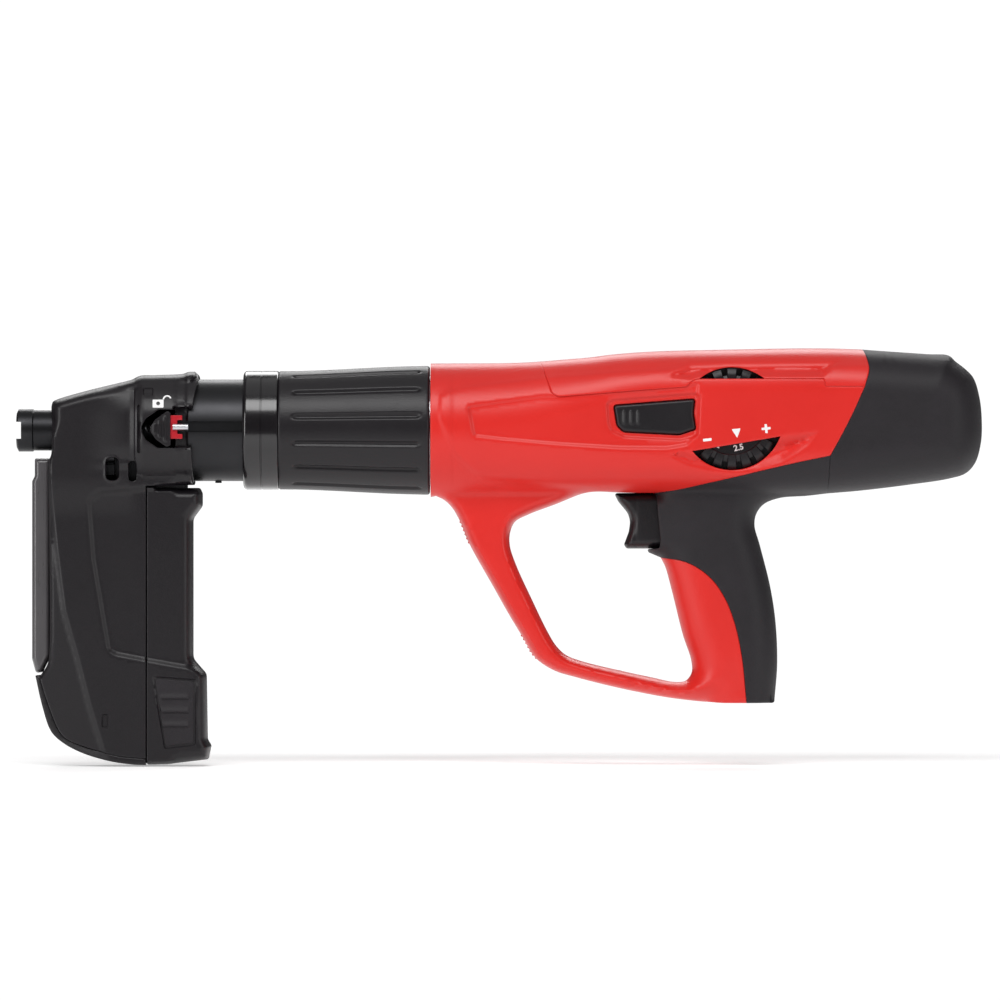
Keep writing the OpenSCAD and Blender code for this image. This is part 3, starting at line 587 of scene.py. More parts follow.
def turned_metal(name, color, rough, lines=0.6, tarnish=0.15):
    """Machined metal with tool lines round the barrel's own line and light tarnish."""
    look = Look(name)
    tool = look.noise(1.0, 2.0, 0.6, look.stretched(4200, 30, 30))
    stain = look.noise(55, 4.0, 0.6)
    base = look.blend(stain.clear_of(0.35, 0.75), color, tint(color, 1 - tarnish))
    # Painted highlight: the edges are painted paler.
    base = look.blend(look.edges() * 0.6, base, tint(color, 1.5))
    look.set(Base_Color=base, Metallic=1.0)
    look.set(Roughness=rough + 0.16 * lines * (tool - 0.5) + 0.14 * (stain - 0.5))
    look.bump(tool, 0.00003 * lines)
    return look.material


def smoked_window(name, color):
    """The tinted, slightly scratched face of the nail window."""
    look = Look(name)
    drag = look.noise(1.0, 3.0, 0.6, look.stretched(2200, 400, 90))
    cloud = look.noise(35, 3.0)
    base = look.blend(cloud, tint(color, 0.86), tint(color, 1.16))
    look.set(Base_Color=base, Roughness=0.26 + 0.2 * (drag - 0.5) + 0.1 * cloud)
    look.set(Coat_Weight=0.35, Coat_Roughness=0.1)
    look.bump(drag + 0.3 * look.noise(900), 0.00004)
    return look.material


def printed_ink(name, color):
    """Pad-printed ink: slightly uneven cover on the plastic's grain."""
    look = Look(name)
    cover = look.noise(1800, 2.0)
    look.set(Base_Color=look.blend(cover, tint(color, 0.93), color), Roughness=0.5 + 0.1 * cover)
    look.bump(cover, 0.00002)
    return look.material


def paint(piece, material, body, nodes=()):
    """Gives a piece its finish, its body and the nodes it stands for."""
    piece.data.materials.clear()
    piece.data.materials.append(material)
    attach(piece, body)
    if nodes:
        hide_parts(*nodes)
    return piece


# ---------------------------------------------------------------- the housing's form
def ccw(loop):
    """The loop, running so that its inside lies to the left."""
    loop = np.asarray(loop, float)
    after = np.roll(loop, -1, axis=0)
    area = np.sum(loop[:, 0] * after[:, 1] - after[:, 0] * loop[:, 1])
    return loop if area > 0 else loop[::-1].copy()


TOP = [(FRONT_X, 33), (243, 33.3), (256, 34), (268, 35), (280, 36), (291, 37.4), (311, 38.9), (350, 39.9),
       (378, 40.4), (400, 40.4), (414.8, 39.9)]
CAP_TOP = [(414.8, 39.9), (434.5, 38.5), (448, 37.6), (457.4, 37), (460.8, 34), (465, 30.8),
           (469.6, 26), (472.7, 16), (473.8, 5), (473.4, -6), (470.6, -16), (466, -21.2), (458, -23.8),
           (438.5, -26.8), (414.8, -29.7), (397.5, -31.2)]
GUARD = [(204.4, -32.4), (208.4, -34.4), (212.3, -38.1), (216.3, -45), (220.2, -54.6), (224.2, -62.3),
         (232.1, -76.1), (240, -90.2), (247.9, -103.4), (251.8, -110.2), (255.8, -114.4),
         (263.7, -119), (271.6, -121.4), (287.4, -125.5), (303.2, -129), (319, -131.9), (334.8, -133.8),
         (346, BASE_Z)]
LOOP_HOLE = [(312.2, -31), (295.3, -30.7), (283.4, -30.3), (277, -31.2), (263.7, -36.4), (250, -41.6),
             (243.4, -45.2), (241, -50.5), (240.9, -57), (243.9, -66.3), (251.8, -83.6), (259.7, -99.8),
             (263.7, -106.3), (268.4, -110.8), (275.5, -113.7), (295.3, -118.6), (311.1, -122),
             (322, -124.2), (327.6, -123.6), (330.6, -119.6), (330.4, -113.6), (326.3, -101), (321, -79.8),
             (317.6, -67.4), (315.3, -62.8)]
GRIP_BACK = [(397.5, -31.2), (387, -32.4), (374.3, -33.4), (366.4, -36.4), (362.6, -41.2),
             (361.7, -47), (364.2, -56.3), (369.5, -77.5), (372.1, -95), (372.9, -115.4),
             (371.6, -132.6)]
GRIP_ARC = [(315.3, -62.8), (327.8, -65), (338.4, -71.5), (346, -81.3), (351.3, -94.2), (355.1, -111.6),
            (357.4, BASE_Z)]
BELLY = [(312.2, -31), (324, -29.2), (335.8, -26.6), (361, -20.9), (380, -16.4), (397.9, -12.7)]
CAP_SEAM = [(397.9, -12.7), (403.8, -2), (409.5, 9.3), (414.9, 21.3)]
CAP_SEAM_TOP = [(414.9, 21.3), (417.1, 29.5), (416.6, 34), (414.8, 39.9)]
SHELF_Z = 25.1
COVER_SEAM = [(255.9, 34.1), (258.6, 26), (261.4, 18.2), (264.4, 16.2), (296, 18.7), (327.5, 21.1),
              (331.2, 24.6), (334.2, SHELF_Z), (395, SHELF_Z), (395.6, 21.4), (414.9, 21.3)]
CHORD = ((330.9, -10.3), (374.1, -3.0))
SCREWS = [(225.8, -25), (288.8, -25), (228.3, -52), (246.3, -91), (294.3, -122.9), (341.3, -114.4),
          (333.3, -84)]
SCREW_PAD = 4.7
MOUTH_R = 30.3
NUMBER_R = 14.6
TICK_R = 19.3
WELL_FACE = 20.9
RIM = (0.1, 0.3, 0.6, 1.1)
SOFT_RIM = RIM + (1.9, 3.0)
BADGE_FOLD = (0.0, 0.6, 1.2, 1.8, 2.3)
SHOULDER_FOLD = (-1.0, -0.3, 0.4, 1.2, 2.0)
DISH_FOLD = (0.1, 1.0, 2.2, 3.6, 5.2)


def rippled(line, ranges, high=0.55, pitch=2.2):
    """The line with small grip ridges between two heights."""
    after, before = np.roll(line, -1, axis=0), np.roll(line, 1, axis=0)
    along = after - before
    along[0], along[-1] = line[1] - line[0], line[-1] - line[-2]
    along /= np.linalg.norm(along, axis=1)[:, None]
    out = np.stack([along[:, 1], -along[:, 0]], axis=1)
    steps = np.concatenate([[0], np.cumsum(np.linalg.norm(np.diff(line, axis=0), axis=1))])
    lift = np.zeros(len(line))
    for high_z, low_z in ranges:
        on = (line[:, 1] < high_z) & (line[:, 1] > low_z)
        lift[on] += high * np.maximum(np.sin(steps[on] * 2 * math.pi / pitch), 0)
    return line + out * lift[:, None]


def chord_height(x):
    """Height of the lower window's straight edge at x."""
    (x0, z0), (x1, z1) = CHORD
    return z0 + (np.asarray(x) - x0) * (z1 - z0) / (x1 - x0)


def window_loop(top):
    """The rim of a wheel window, cut off by a straight edge."""
    if top:
        half = math.degrees(math.asin((SHELF_Z - DIAL[1]) / WINDOW_R))
        return arc(*DIAL, WINDOW_R, half, 180 - half, 0.7)
    angles = np.radians(np.linspace(180, 360, 400))
    ring = np.stack([DIAL[0] + WINDOW_R * np.cos(angles), DIAL[1] + WINDOW_R * np.sin(angles)], axis=1)
    ring = ring[ring[:, 1] < chord_height(ring[:, 0])]
    ring = resample(ring, 0.7)
    straight = resample(np.array([ring[-1], ring[0]]), 0.8)
    return ccw(join(ring, straight[1:-1]))


def outlines():
    """The seams that part the housing's pieces."""
    top = path(TOP)
    guard = rippled(path(GUARD, 0.45), [(-45, -57), (-100, -113)])
    hole = path(LOOP_HOLE)
    arc_line = path(GRIP_ARC)
    belly = path(BELLY)
    seam = rounded(COVER_SEAM, [0, 3, 2.6, 3, 30, 2.2, 2, 3, 0.6, 0.6, 0], 0.8, closed=False)
    cap_low, cap_high = path(CAP_SEAM), path(CAP_SEAM_TOP)
    front = resample(np.array([(FRONT_X, -33), (FRONT_X, 33)]), 0.9)
    base = resample(np.array([(346, BASE_Z), (357.4, BASE_Z)]), 0.9)
    split = int(np.argmin(np.abs(top[:, 0] - 255.9)))
    slot_front = rounded([(315.3, -62.8), (309.2, -60.2), (308.9, -58.7), (314.6, -58.2), (315.2, -54),
                          (314.0, -42.7), (313.2, -33), (312.2, -31)],
                         [0, 0.8, 0.5, 1, 1, 8, 1, 0], 0.7, closed=False)
    shell = join(front, top[:split + 1], seam, cap_low[::-1], belly[::-1], hole, arc_line, base[::-1],
                 guard[::-1])
    cover = join(seam[::-1], top[split:], cap_high[::-1])
    back = path(GRIP_BACK)
    heel = rounded([(371.6, -132.6), (371.2, BASE_Z), (357.4, BASE_Z)], [0, 1.4, 0], 0.8, closed=False)
    notch = resample(np.array([(397.9, -12.7), (397.0, -31.2)]), 0.8)
    grip = join(belly, notch, back, heel, arc_line[::-1], slot_front)
    cap = join(cap_low, cap_high, path(CAP_TOP), notch[::-1])
    return {name: ccw(line) for name, line in
            {"shell": shell, "cover": cover, "grip": grip, "cap": cap}.items()}


class Form:
    """How far the housing's side stands out from its middle plane."""

    def __init__(self, badge_depth=1.35, shoulder=0.95):
        self.badge_depth, self.shoulder = badge_depth, shoulder
        top = path([(150, 33)] + TOP, 1.5)
        tail = path(CAP_TOP, 1.5)
        under = path([(397.5, -31.2), (374, -31.6), (330, -31.6), (283, -31.8), (250, -32.6), (FRONT_X, -33),
                      (150, -33)], 1.5)
        self.body = join(top, tail, under)
        guard = path([(204.4, -5, 1)] + GUARD, 1.2)
        base = np.array([(346, BASE_Z - 1.5), (371.4, BASE_Z - 1.5)])
        back = path(GRIP_BACK, 1.2)[::-1]
        self.low_edge = np.vstack([guard, resample(base, 2), back, [(399, -5)]])
        self.low_round = [guard[guard[:, 0] < 338], back, np.array([(399.0, -31), (399, -5)])]
        lip = [(315.3, -62.8, 1), (309.5, -60), (303.5, -50), (304, -38), (312.2, -31)]
        self.low_hole = np.vstack([path(LOOP_HOLE, 1.2), path(lip, 1.2)[1:]])
        badge = [(219.3, 12.2), (256, 17.2), (264, 17.4), (327, 22), (334, 24), (333.2, -3), (328, -8.2),
                 (318, -9.9), (295, -9.8), (265.7, -8), (236, -5.4), (222.4, -3.8)]
        self.badge = ccw(rounded(badge, [2.5, 20, 8, 20, 2, 3, 4, 12, 30, 30, 20, 3]))
        rise = [(205.6, 6), (206.4, 16.6), (209.4, 19.2), (221, 22), (262, 27.2), (300, 29.6),
                (334, 31.2), (420, 33), (430, -46), (300, -46), (282, -29.4), (226, -23.6), (213, -12.6)]
        self.rise = ccw(rounded(rise, [8, 2.5, 5, 20, 30, 30, 20, 0, 0, 0, 12, 14, 14]))
        bowl = [(316.5, -10.6), (321, -14.6), (328, -18.6), (340, -22), (352, -23.2), (364, -22),
                (376, -17.2), (388, -8), (393, -1.4), (389, -0.8), (374.4, -2.8), (330.6, -10.2), (322, -9.4)]
        self.bowl = ccw(rounded(bowl, [1, 5, 8, 12, 12, 12, 12, 8, 1, 1, 0.3, 0.3, 3]))
        scoop = [(316.6, 25.4), (321, 29.4), (329, 32.8), (345, 33.6), (403.4, 34.2), (401, 31.2),
                 (395.2, 25.1), (334, 25.1), (330, 23.6)]
        self.scoop = ccw(rounded(scoop, [1.5, 5, 6, 20, 1.2, 4, 0.5, 0.5, 3]))
        recess = [(287.6, 13.4), (291, 15.4), (331, 18.6), (335, 17), (334, -3.4), (324.6, -5.8),
                  (297, -4.3), (290.2, -1.2), (288.4, 3)]
        self.recess = ccw(rounded(recess, [3, 3, 4, 3, 3, 4, 5, 4, 6]))

    def plain(self, p):
        """The form before its reliefs."""
        x = p[:, 0]
        rear = smooth((x - 222) / 95)
        d = np.maximum(depth_in(p, self.body), 0)
        body = (33 - 1.6 * smooth((x - 205) / 45)) * dome(d / (33 - 11 * rear), 2 + 0.25 * rear)
        dip = np.min([distance(p, line) for line in self.low_round], axis=0)
        dip = np.minimum(dip, distance(p, self.low_hole, True))
        grip = smooth((x - 298) / 40)
        low = (13 + 4 * grip) * dome(dip / (3.9 + 11.6 * grip), 2)
        heel = 1.8 * (1 - dome((p[:, 1] - BASE_Z) / 1.8)) + 1.0 * smooth(1 - (p[:, 1] - BASE_Z) / 26)
        low = np.maximum(low - heel * (x > 300), 0)
        low = np.where(inside(p, self.low_edge) & ~inside(p, self.low_hole), low, 0)
        web = 1 - smooth((x - 228) / 40)
        return soft_max(body, low, 5 + 6 * web)

    def raised(self, p):
        """The form with its shoulder line."""
        y = self.plain(p)
        return y + self.shoulder * ease((depth_in(p, self.rise) + 1.0) / 3.0) * np.clip(y / 12, 0, 1)

    def side(self, p, marked=True):
        """The outer side with its reliefs. marked is the side with the windows and the button."""
        y = self.raised(p) - ease(depth_in(p, self.badge) / 2.1) * self.badge_depth
        if not marked:
            y = np.maximum(y, 12.2 * ease((SCREW_PAD - screw_distance(p)) / 0.7))
        y = y + 0.4 * (1 - ease((p[:, 0] - 211.5) / 1.6))
        y = y - 0.9 * np.clip(y / 30, 0, 1)
        if marked:
            below = (p[:, 1] < chord_height(p[:, 0])) | (p[:, 0] > 374.4)
            y = y - np.where(below, 4.4 * smooth(depth_in(p, self.bowl) / 7.5), 0)
            y = y - 1.1 * ease(depth_in(p, self.recess) / 1.5)
        return y

    def lid(self, p):
        """The top cover's outer side."""
        y = self.raised(p)
        y = y - 0.9 * np.clip(y / 30, 0, 1)
        return y - 4.2 * smooth(depth_in(p, self.scoop) / 6.5)


def button_loop(grow=0.0):
    """The release button's outline, grown by a margin."""
    loop = rounded([(291.9, 11.9), (331.4, 15.0), (330.6, 8), (331.9, 0.4), (323.9, -2.3), (296.7, -0.9),
                    (293.5, 2.1)], [1.2, 0.8, 12, 0.8, 3, 3, 2.5], 0.6)
    loop = ccw(loop)
    if grow:
        loop = ring_points(loop, [-grow])[0]
        loop = resample(np.vstack([loop, loop[:1]]), 0.6)[:-1]
    return loop


def front_mouth(p, y):
    """How deep the housing's walls reach, with its round mouth at the front."""
    bore = MOUTH_R ** 2 - p[:, 1] ** 2
    round_mouth = np.sqrt(np.maximum(bore, 0))
    foot = np.where((p[:, 0] < FRONT_X + 0.6) & (bore > 0), np.minimum(round_mouth, y - 0.1),
                    np.maximum(y - 3.2, 0))
    over_dial = (np.hypot(p[:, 0] - DIAL[0], p[:, 1] - DIAL[1]) < WINDOW_R + 0.5) & (y > DIAL_FACE + 0.3)
    return np.where(over_dial, DIAL_FACE + 0.2, foot)


def screw_distance(p):
    """Distance to the nearest housing screw's axis."""
    return np.min([np.hypot(p[:, 0] - x, p[:, 1] - z) for x, z in SCREWS], axis=0)


def shell_pieces(form, red):
    """The two red shells, each with half of the hand guard."""
    outline = outlines()["shell"]
    side_folds = [(form.badge, True, BADGE_FOLD), (form.rise, True, SHOULDER_FOLD)]
    left_folds = side_folds + [(form.recess, True, (0.0, 0.5, 1.0, 1.5)), (form.bowl, True, DISH_FOLD)]
    left = moulded("left_shell", outline, lambda p: form.side(p, True), (-1,),
                   [window_loop(False), button_loop(0.35)], 1.5, RIM, left_folds,
                   inner=front_mouth, edge=0.55, parting=0.04)
    paint(left, red, "housing", ["housing_left"])
    holes = [arc(x, z, 3.5, 0, 360, 0.6)[:-1] for x, z in SCREWS]

    def right_wall(p, y):
        foot = front_mouth(p, y)
        return np.where(screw_distance(p) < 3.8, np.minimum(8.8, y - 0.5), foot)

    right = moulded("right_shell", outline, lambda p: form.side(p, False), (1,), holes, 1.7, RIM,
                    side_folds, inner=right_wall, edge=0.55, parting=0.04)
    paint(right, red, "housing", ["housing_right"])


def lid_piece(form, red):
    """The top cover, with the upper wheel window and its scoop."""
    lid = moulded("lid", notched(outlines()["cover"]), form.lid, (-1, 1), (), 1.4, RIM,
                  [(form.scoop, True, DISH_FOLD), (form.rise, True, SHOULDER_FOLD)], wall=3.0, edge=0.55)
    paint(lid, red, "housing", ["top_cover"])


def cap_piece(form, black):
    """The soft rear cap."""
    cap = moulded("tail_cap", outlines()["cap"], lambda p: form.plain(p) + cap_ribs(p), (-1, 1), (), 1.6,
                  SOFT_RIM, wall=3.0, edge=0.5)
    paint(cap, black, "housing", ["rear_cap"])


def grip_piece(form, black):
    """The soft grip, open at the trigger's slot and under the heel."""

    def slot_wall(p, y):
        cheek = (p[:, 0] < 316) & (p[:, 1] > -60) & (p[:, 1] < -32)
        foot = np.where(cheek, np.minimum(9.4, y - 0.3), np.maximum(y - 3, 0))
        mouth = (p[:, 0] > 357.6) & (p[:, 0] < 370.4)
        floor = np.where(mouth, np.minimum(8.1, y), 0)
        return np.where(p[:, 1] < BASE_Z + 0.05, floor, foot)

    grip = moulded("handle", outlines()["grip"], form.plain, (-1, 1), (), 1.6, SOFT_RIM, wall=3.0, edge=0.5,
                   inner=slot_wall)
    paint(grip, black, "housing", ["grip"])


def cap_ribs(p):
    """Two small ribs across the top of the rear cap."""
    high = ease((p[:, 1] - 31.5) / 3.0)
    wave = np.exp(-((p[:, 0] - 425.0) / 0.9) ** 2) + np.exp(-((p[:, 0] - 429.2) / 0.9) ** 2)
    return 0.9 * high * wave * (distance(p, path(CAP_TOP, 1.5)) > 0.3)


def notched(loop):
    """The top cover's outline with the wheel window taken out of its lower edge."""
    keep = np.hypot(loop[:, 0] - DIAL[0], loop[:, 1] - DIAL[1]) > WINDOW_R
    first = int(np.argmin(keep))
    loop = np.roll(loop, -first, axis=0)
    keep = np.roll(keep, -first)
    count = int(np.argmax(keep))
    rest = loop[count:]
    rim = window_loop(True)
    if np.linalg.norm(rim[0] - rest[-1]) > np.linalg.norm(rim[-1] - rest[-1]):
        rim = rim[::-1]
    return ccw(join(rest, rim))


def release_button(form, material):
    """The black release button with its three grip ribs."""
    loop = button_loop()

    def face(p):
        crown = form.plain(p) - 1.15
        ribs = np.zeros(len(p))
        for k in range(3):
            along = p[:, 0] - (296.6 + 3.4 * k) - 0.05 * (p[:, 1] - 6) ** 2 * 0.25
            span = ease((3.6 - np.abs(p[:, 1] - 6.2)) / 0.8)
            ribs += 0.55 * np.exp(-(along / 0.62) ** 2) * span
        return crown + ribs

    folds = [(resample(np.array([(296.6 + 3.4 * k, 2.4), (296.6 + 3.4 * k, 10)]), 0.5), False,
              (-0.9, -0.45, 0, 0.45, 0.9)) for k in range(3)]
    piece = moulded("button", loop, face, (-1,), (), 1.1, (0.1, 0.3, 0.7, 1.2, 1.8), folds, wall=1.5,
                    edge=1.3)
    paint(piece, material, "release_button", ["release_button"])


def trigger_piece(material):
    """The trigger: a hollow-ground finger pad."""
    loop = ccw(rounded([(292.3, -31.0), (325.6, -30.6), (325.6, -58.4), (298.4, -58.4), (297.2, -56.4),
                        (299.6, -50), (300.3, -45), (299.2, -41), (294.4, -35.2)],
                       [1.2, 0.6, 1.5, 1.4, 1.2, 8, 8, 8, 3], 0.7))

    def face(p):
        front = np.maximum(distance(p, loop, True), 0)
        body = 8.6 * dome(front / 4.2, 2.2)
        scallop = 0.5 * np.exp(-((p[:, 0] - 302.6) / 1.1) ** 2) * ease((14 - np.abs(p[:, 1] + 45)) / 3)
        return body - scallop

    piece = moulded("finger_trigger", loop, face, (-1, 1), (), 1.1, (0.1, 0.3, 0.7, 1.3, 2.1, 3.1),
                    edge=0.4)
    paint(piece, material, "trigger", ["trigger"])


def power_wheel(material, ink):
    """The power wheel: a dial face with numbers and a castellated thumb rim."""
    lumps = 20
    steps = lumps * 14
    y_out, y_in = WHEEL_LOW[1], WHEEL_HIGH[1]
    profile = [(0.2, y_out + 0.5), (4, y_out + 0.5), (4.3, y_out + 0.1), (10.5, y_out),
               (11.0, y_out + 0.35), (17.4, y_out + 0.35), (17.9, y_out), (21.2, y_out + 0.1),
               (22.0, y_out + 0.25), (23.6, y_out + 0.9), (WHEEL_R, y_out + 1.6), (WHEEL_R, y_in - 0.6),
               (WHEEL_R - 0.5, y_in), (0.2, y_in)]
    verts, polys = [], []
    for r, y in profile:
        for j in range(steps):
            angle = 2 * math.pi * j / steps
            wave = math.cos(angle * lumps)
            gap = smooth(np.array([(-wave - 0.25) / 0.35]))[0]
            out = r - gap * max(r - 21.4, 0)
            deep = y + gap * (0.9 if y < y_out + 0.3 and r > 18 else 0)
            verts.append(((DIAL[0] + out * math.sin(angle)) * MM, deep * MM,
                          (DIAL[1] + out * math.cos(angle)) * MM))
    for i in range(len(profile) - 1):
        for j in range(steps):
            k = (j + 1) % steps
            polys.append((i * steps + j, i * steps + k, (i + 1) * steps + k, (i + 1) * steps + j))
    piece = mesh_piece("dial", verts, polys, 32)
    paint(piece, material, "power_wheel", ["power_wheel"])
    for k, word in enumerate(("3.5", "3", "2.5", "2", "1.5")):
        turn = math.radians(-13 + 40 * (k - 2))
        place = (DIAL[0] - NUMBER_R * math.sin(turn), y_out + 0.3, DIAL[1] - NUMBER_R * math.cos(turn))
        number = printed(f"number_{k}", word, 4.0, place, turn)
        paint(number, ink, "power_wheel")
    well = moulded("dial_well", ccw(arc(*DIAL, WINDOW_R + 3, 0, 360, 2)[:-1]),
                   lambda p: np.full(len(p), WELL_FACE), (-1,), (), 6, (), wall=0.4, edge=0.1)
    paint(well, material, "housing")
    for k in range(7, 14):
        angle = math.radians(k * 18 + 9)
        spot = tick(f"tick_{k}", DIAL[0] + TICK_R * math.sin(angle), DIAL[1] + TICK_R * math.cos(angle),
                    y_out + 0.75, angle)
        paint(spot, ink, "power_wheel")


def printed(name, word, size, place, turn):
    """Raised lettering, facing the visible side."""
    curve = bpy.data.curves.new(name, "FONT")
    curve.body = word
    curve.size = size * MM
    curve.extrude = 0.08 * MM
    curve.offset = 0.028 * size * MM
    curve.align_x, curve.align_y = "CENTER", "CENTER"
    holder = bpy.data.objects.new(name + "_line", curve)
    bpy.context.scene.collection.objects.link(holder)
    bpy.context.view_layer.update()
    graph = bpy.context.evaluated_depsgraph_get()
    mesh = bpy.data.meshes.new_from_object(holder.evaluated_get(graph))
    bpy.data.objects.remove(holder)
    cos, sin = math.cos(turn), math.sin(turn)
    for v in mesh.vertices:
        x, z, y = v.co.x, v.co.y, v.co.z
        v.co = (place[0] * MM + x * cos + z * sin,
                place[1] * MM - y, place[2] * MM - x * sin + z * cos)
    piece = bpy.data.objects.new(name, mesh)
    bpy.context.scene.collection.objects.link(piece)
    return piece


def tick(name, x, z, y, angle):
    """A short raised index line on the dial."""
    out = np.array([math.sin(angle), math.cos(angle)])
    side = np.array([out[1], -out[0]])
    loop = ccw(np.array([out * a + side * b for a, b in
                         ((-0.9, -0.25), (0.9, -0.25), (1.0, 0), (0.9, 0.25), (-0.9, 0.25), (-1.0, 0))])
               + (x, z))
    return moulded(name, loop, lambda p: np.full(len(p), -y), (-1,), (), 0.5, (), wall=0.3, edge=0.05)


def mark(name, loop, height, ink, body="housing", holes=()):
    """A printed mark that lies on a surface."""
    piece = moulded(name, ccw(loop), lambda p: height(p) + 0.07, (-1,), holes, 0.8, (), wall=0.25,
                    edge=0.03)
    paint(piece, ink, body)


def housing_marks(form, ink):
    """Minus, pointer and plus over the power wheel."""
    tilt = math.radians(6)
    turn = np.array([[math.cos(tilt), math.sin(tilt)], [-math.sin(tilt), math.cos(tilt)]])

    def placed(points, x, z, radius):
        return rounded(np.array(points, float) @ turn + (x, z), radius, 0.35)

    minus = placed([(-2.1, -0.65), (2.1, -0.65), (2.1, 0.65), (-2.1, 0.65)], 337.6, -4.9, 0.2)
    arrow = placed([(-2.2, 2.1), (0.1, -2.4), (2.2, 2.1)], 351.9, -1.6, 0.15)
    a, b = 2.2, 0.6
    plus = placed([(-a, -b), (-b, -b), (-b, -a), (b, -a), (b, -b), (a, -b), (a, b), (b, b), (b, a), (-b, a),
                   (-b, b), (-a, b)], 366.4, 0.6, 0.08)
    for name, loop in (("mark_minus", minus), ("mark_pointer", arrow), ("mark_plus", plus)):
        mark(name, loop, form.side, ink)


# ---------------------------------------------------------------- the magazine's form
MAG_TOP = [(14.6, 11.6), (15.2, 13.9), (17, 15.1), (30.6, 19.2), (46.4, 23.1), (54.3, 25.1), (58.3, 27.0),
           (66, 27.3), (79.8, 28.0), (82, 28.8), (85.4, 29.0)]
MAG_REAR = [(85.4, 29.0), (87.4, 26.6), (86.2, 18), (84.9, 9), (84.5, -3), (84.8, -18), (85.2, -26)]
MAG_FRONT = [(14.6, 11.6), (14.6, -12), (13.6, -14.5), (13.3, -20), (13.3, -112.5), (12.2, -116.5),
             (9.2, -120.8)]
BASE_IN = [(9.2, -120.8), (13.6, -134.8), (18.8, -147.6), (22.6, -151.9), (38.5, -157.9), (50, -160.6),
           (61.7, -161.6)]
BASE_OUT = [(6.9, -121.0), (9.9, -134.4), (13.8, -146.8), (16.6, -150.8), (22.7, -155.4), (30.6, -159.1),
            (38.5, -161.6), (46.4, -163.4), (56, -164.6), (61.8, -164.8)]
SEAM_X = 62.0
COVER_BACK = [(62.3, -28.4), (88.0, -28.4), (89.3, -31), (89.3, -37.4), (84.7, -43.6), (84.7, -112.6),
              (91.2, -120.2), (91.8, -152.6), (93.6, -155.6), (92.2, -162.4), (82, -163.6), (72, -164.8),
              (62.3, -165.0)]
COVER_ROUND = [0, 1.6, 3, 4, 5, 5, 4, 2, 1.2, 1.6, 8, 8, 0]
CREASE_Z = [-165, -149.5, -135.6, -113.4, -88.7, -58, -30, -12, 30]
CREASE_X = [44, 39.4, 35.2, 29.5, 22.6, 18.7, 15.9, 15.0, 15.0]
PANEL = [(38.8, -29.4), (32.4, -33.3), (34.8, -64), (42.4, -108.9), (46.8, -111.4), (61.6, -114.3),
         (82.1, -118), (100, -122), (104, -26), (62, -27.4)]
PANEL_ROUND = [5, 5, 30, 4, 6, 10, 10, 0, 0, 8]
PANEL_FOLD = (0.0, 0.5, 1.0, 1.6, 2.2, 2.7)
MAG_RIM = RIM + (1.8,)
MAG_HALF = node_box("magazine_cover")[1][1]
HEAD_R = 28.4
COLLAR_BORE_R = 25.5
NOSE_BORE_R = 10.7
CATCH_FACE = 26.9
FLAG_FACE = 26.2
THUMB_RIBS = (-131.9, -138.5, -145.5)
CATCH_RIBS = (66.6, 69.2, 71.8)
BARREL_BORE_R = 25.4
SLEEVE_BORE_R = 27.4


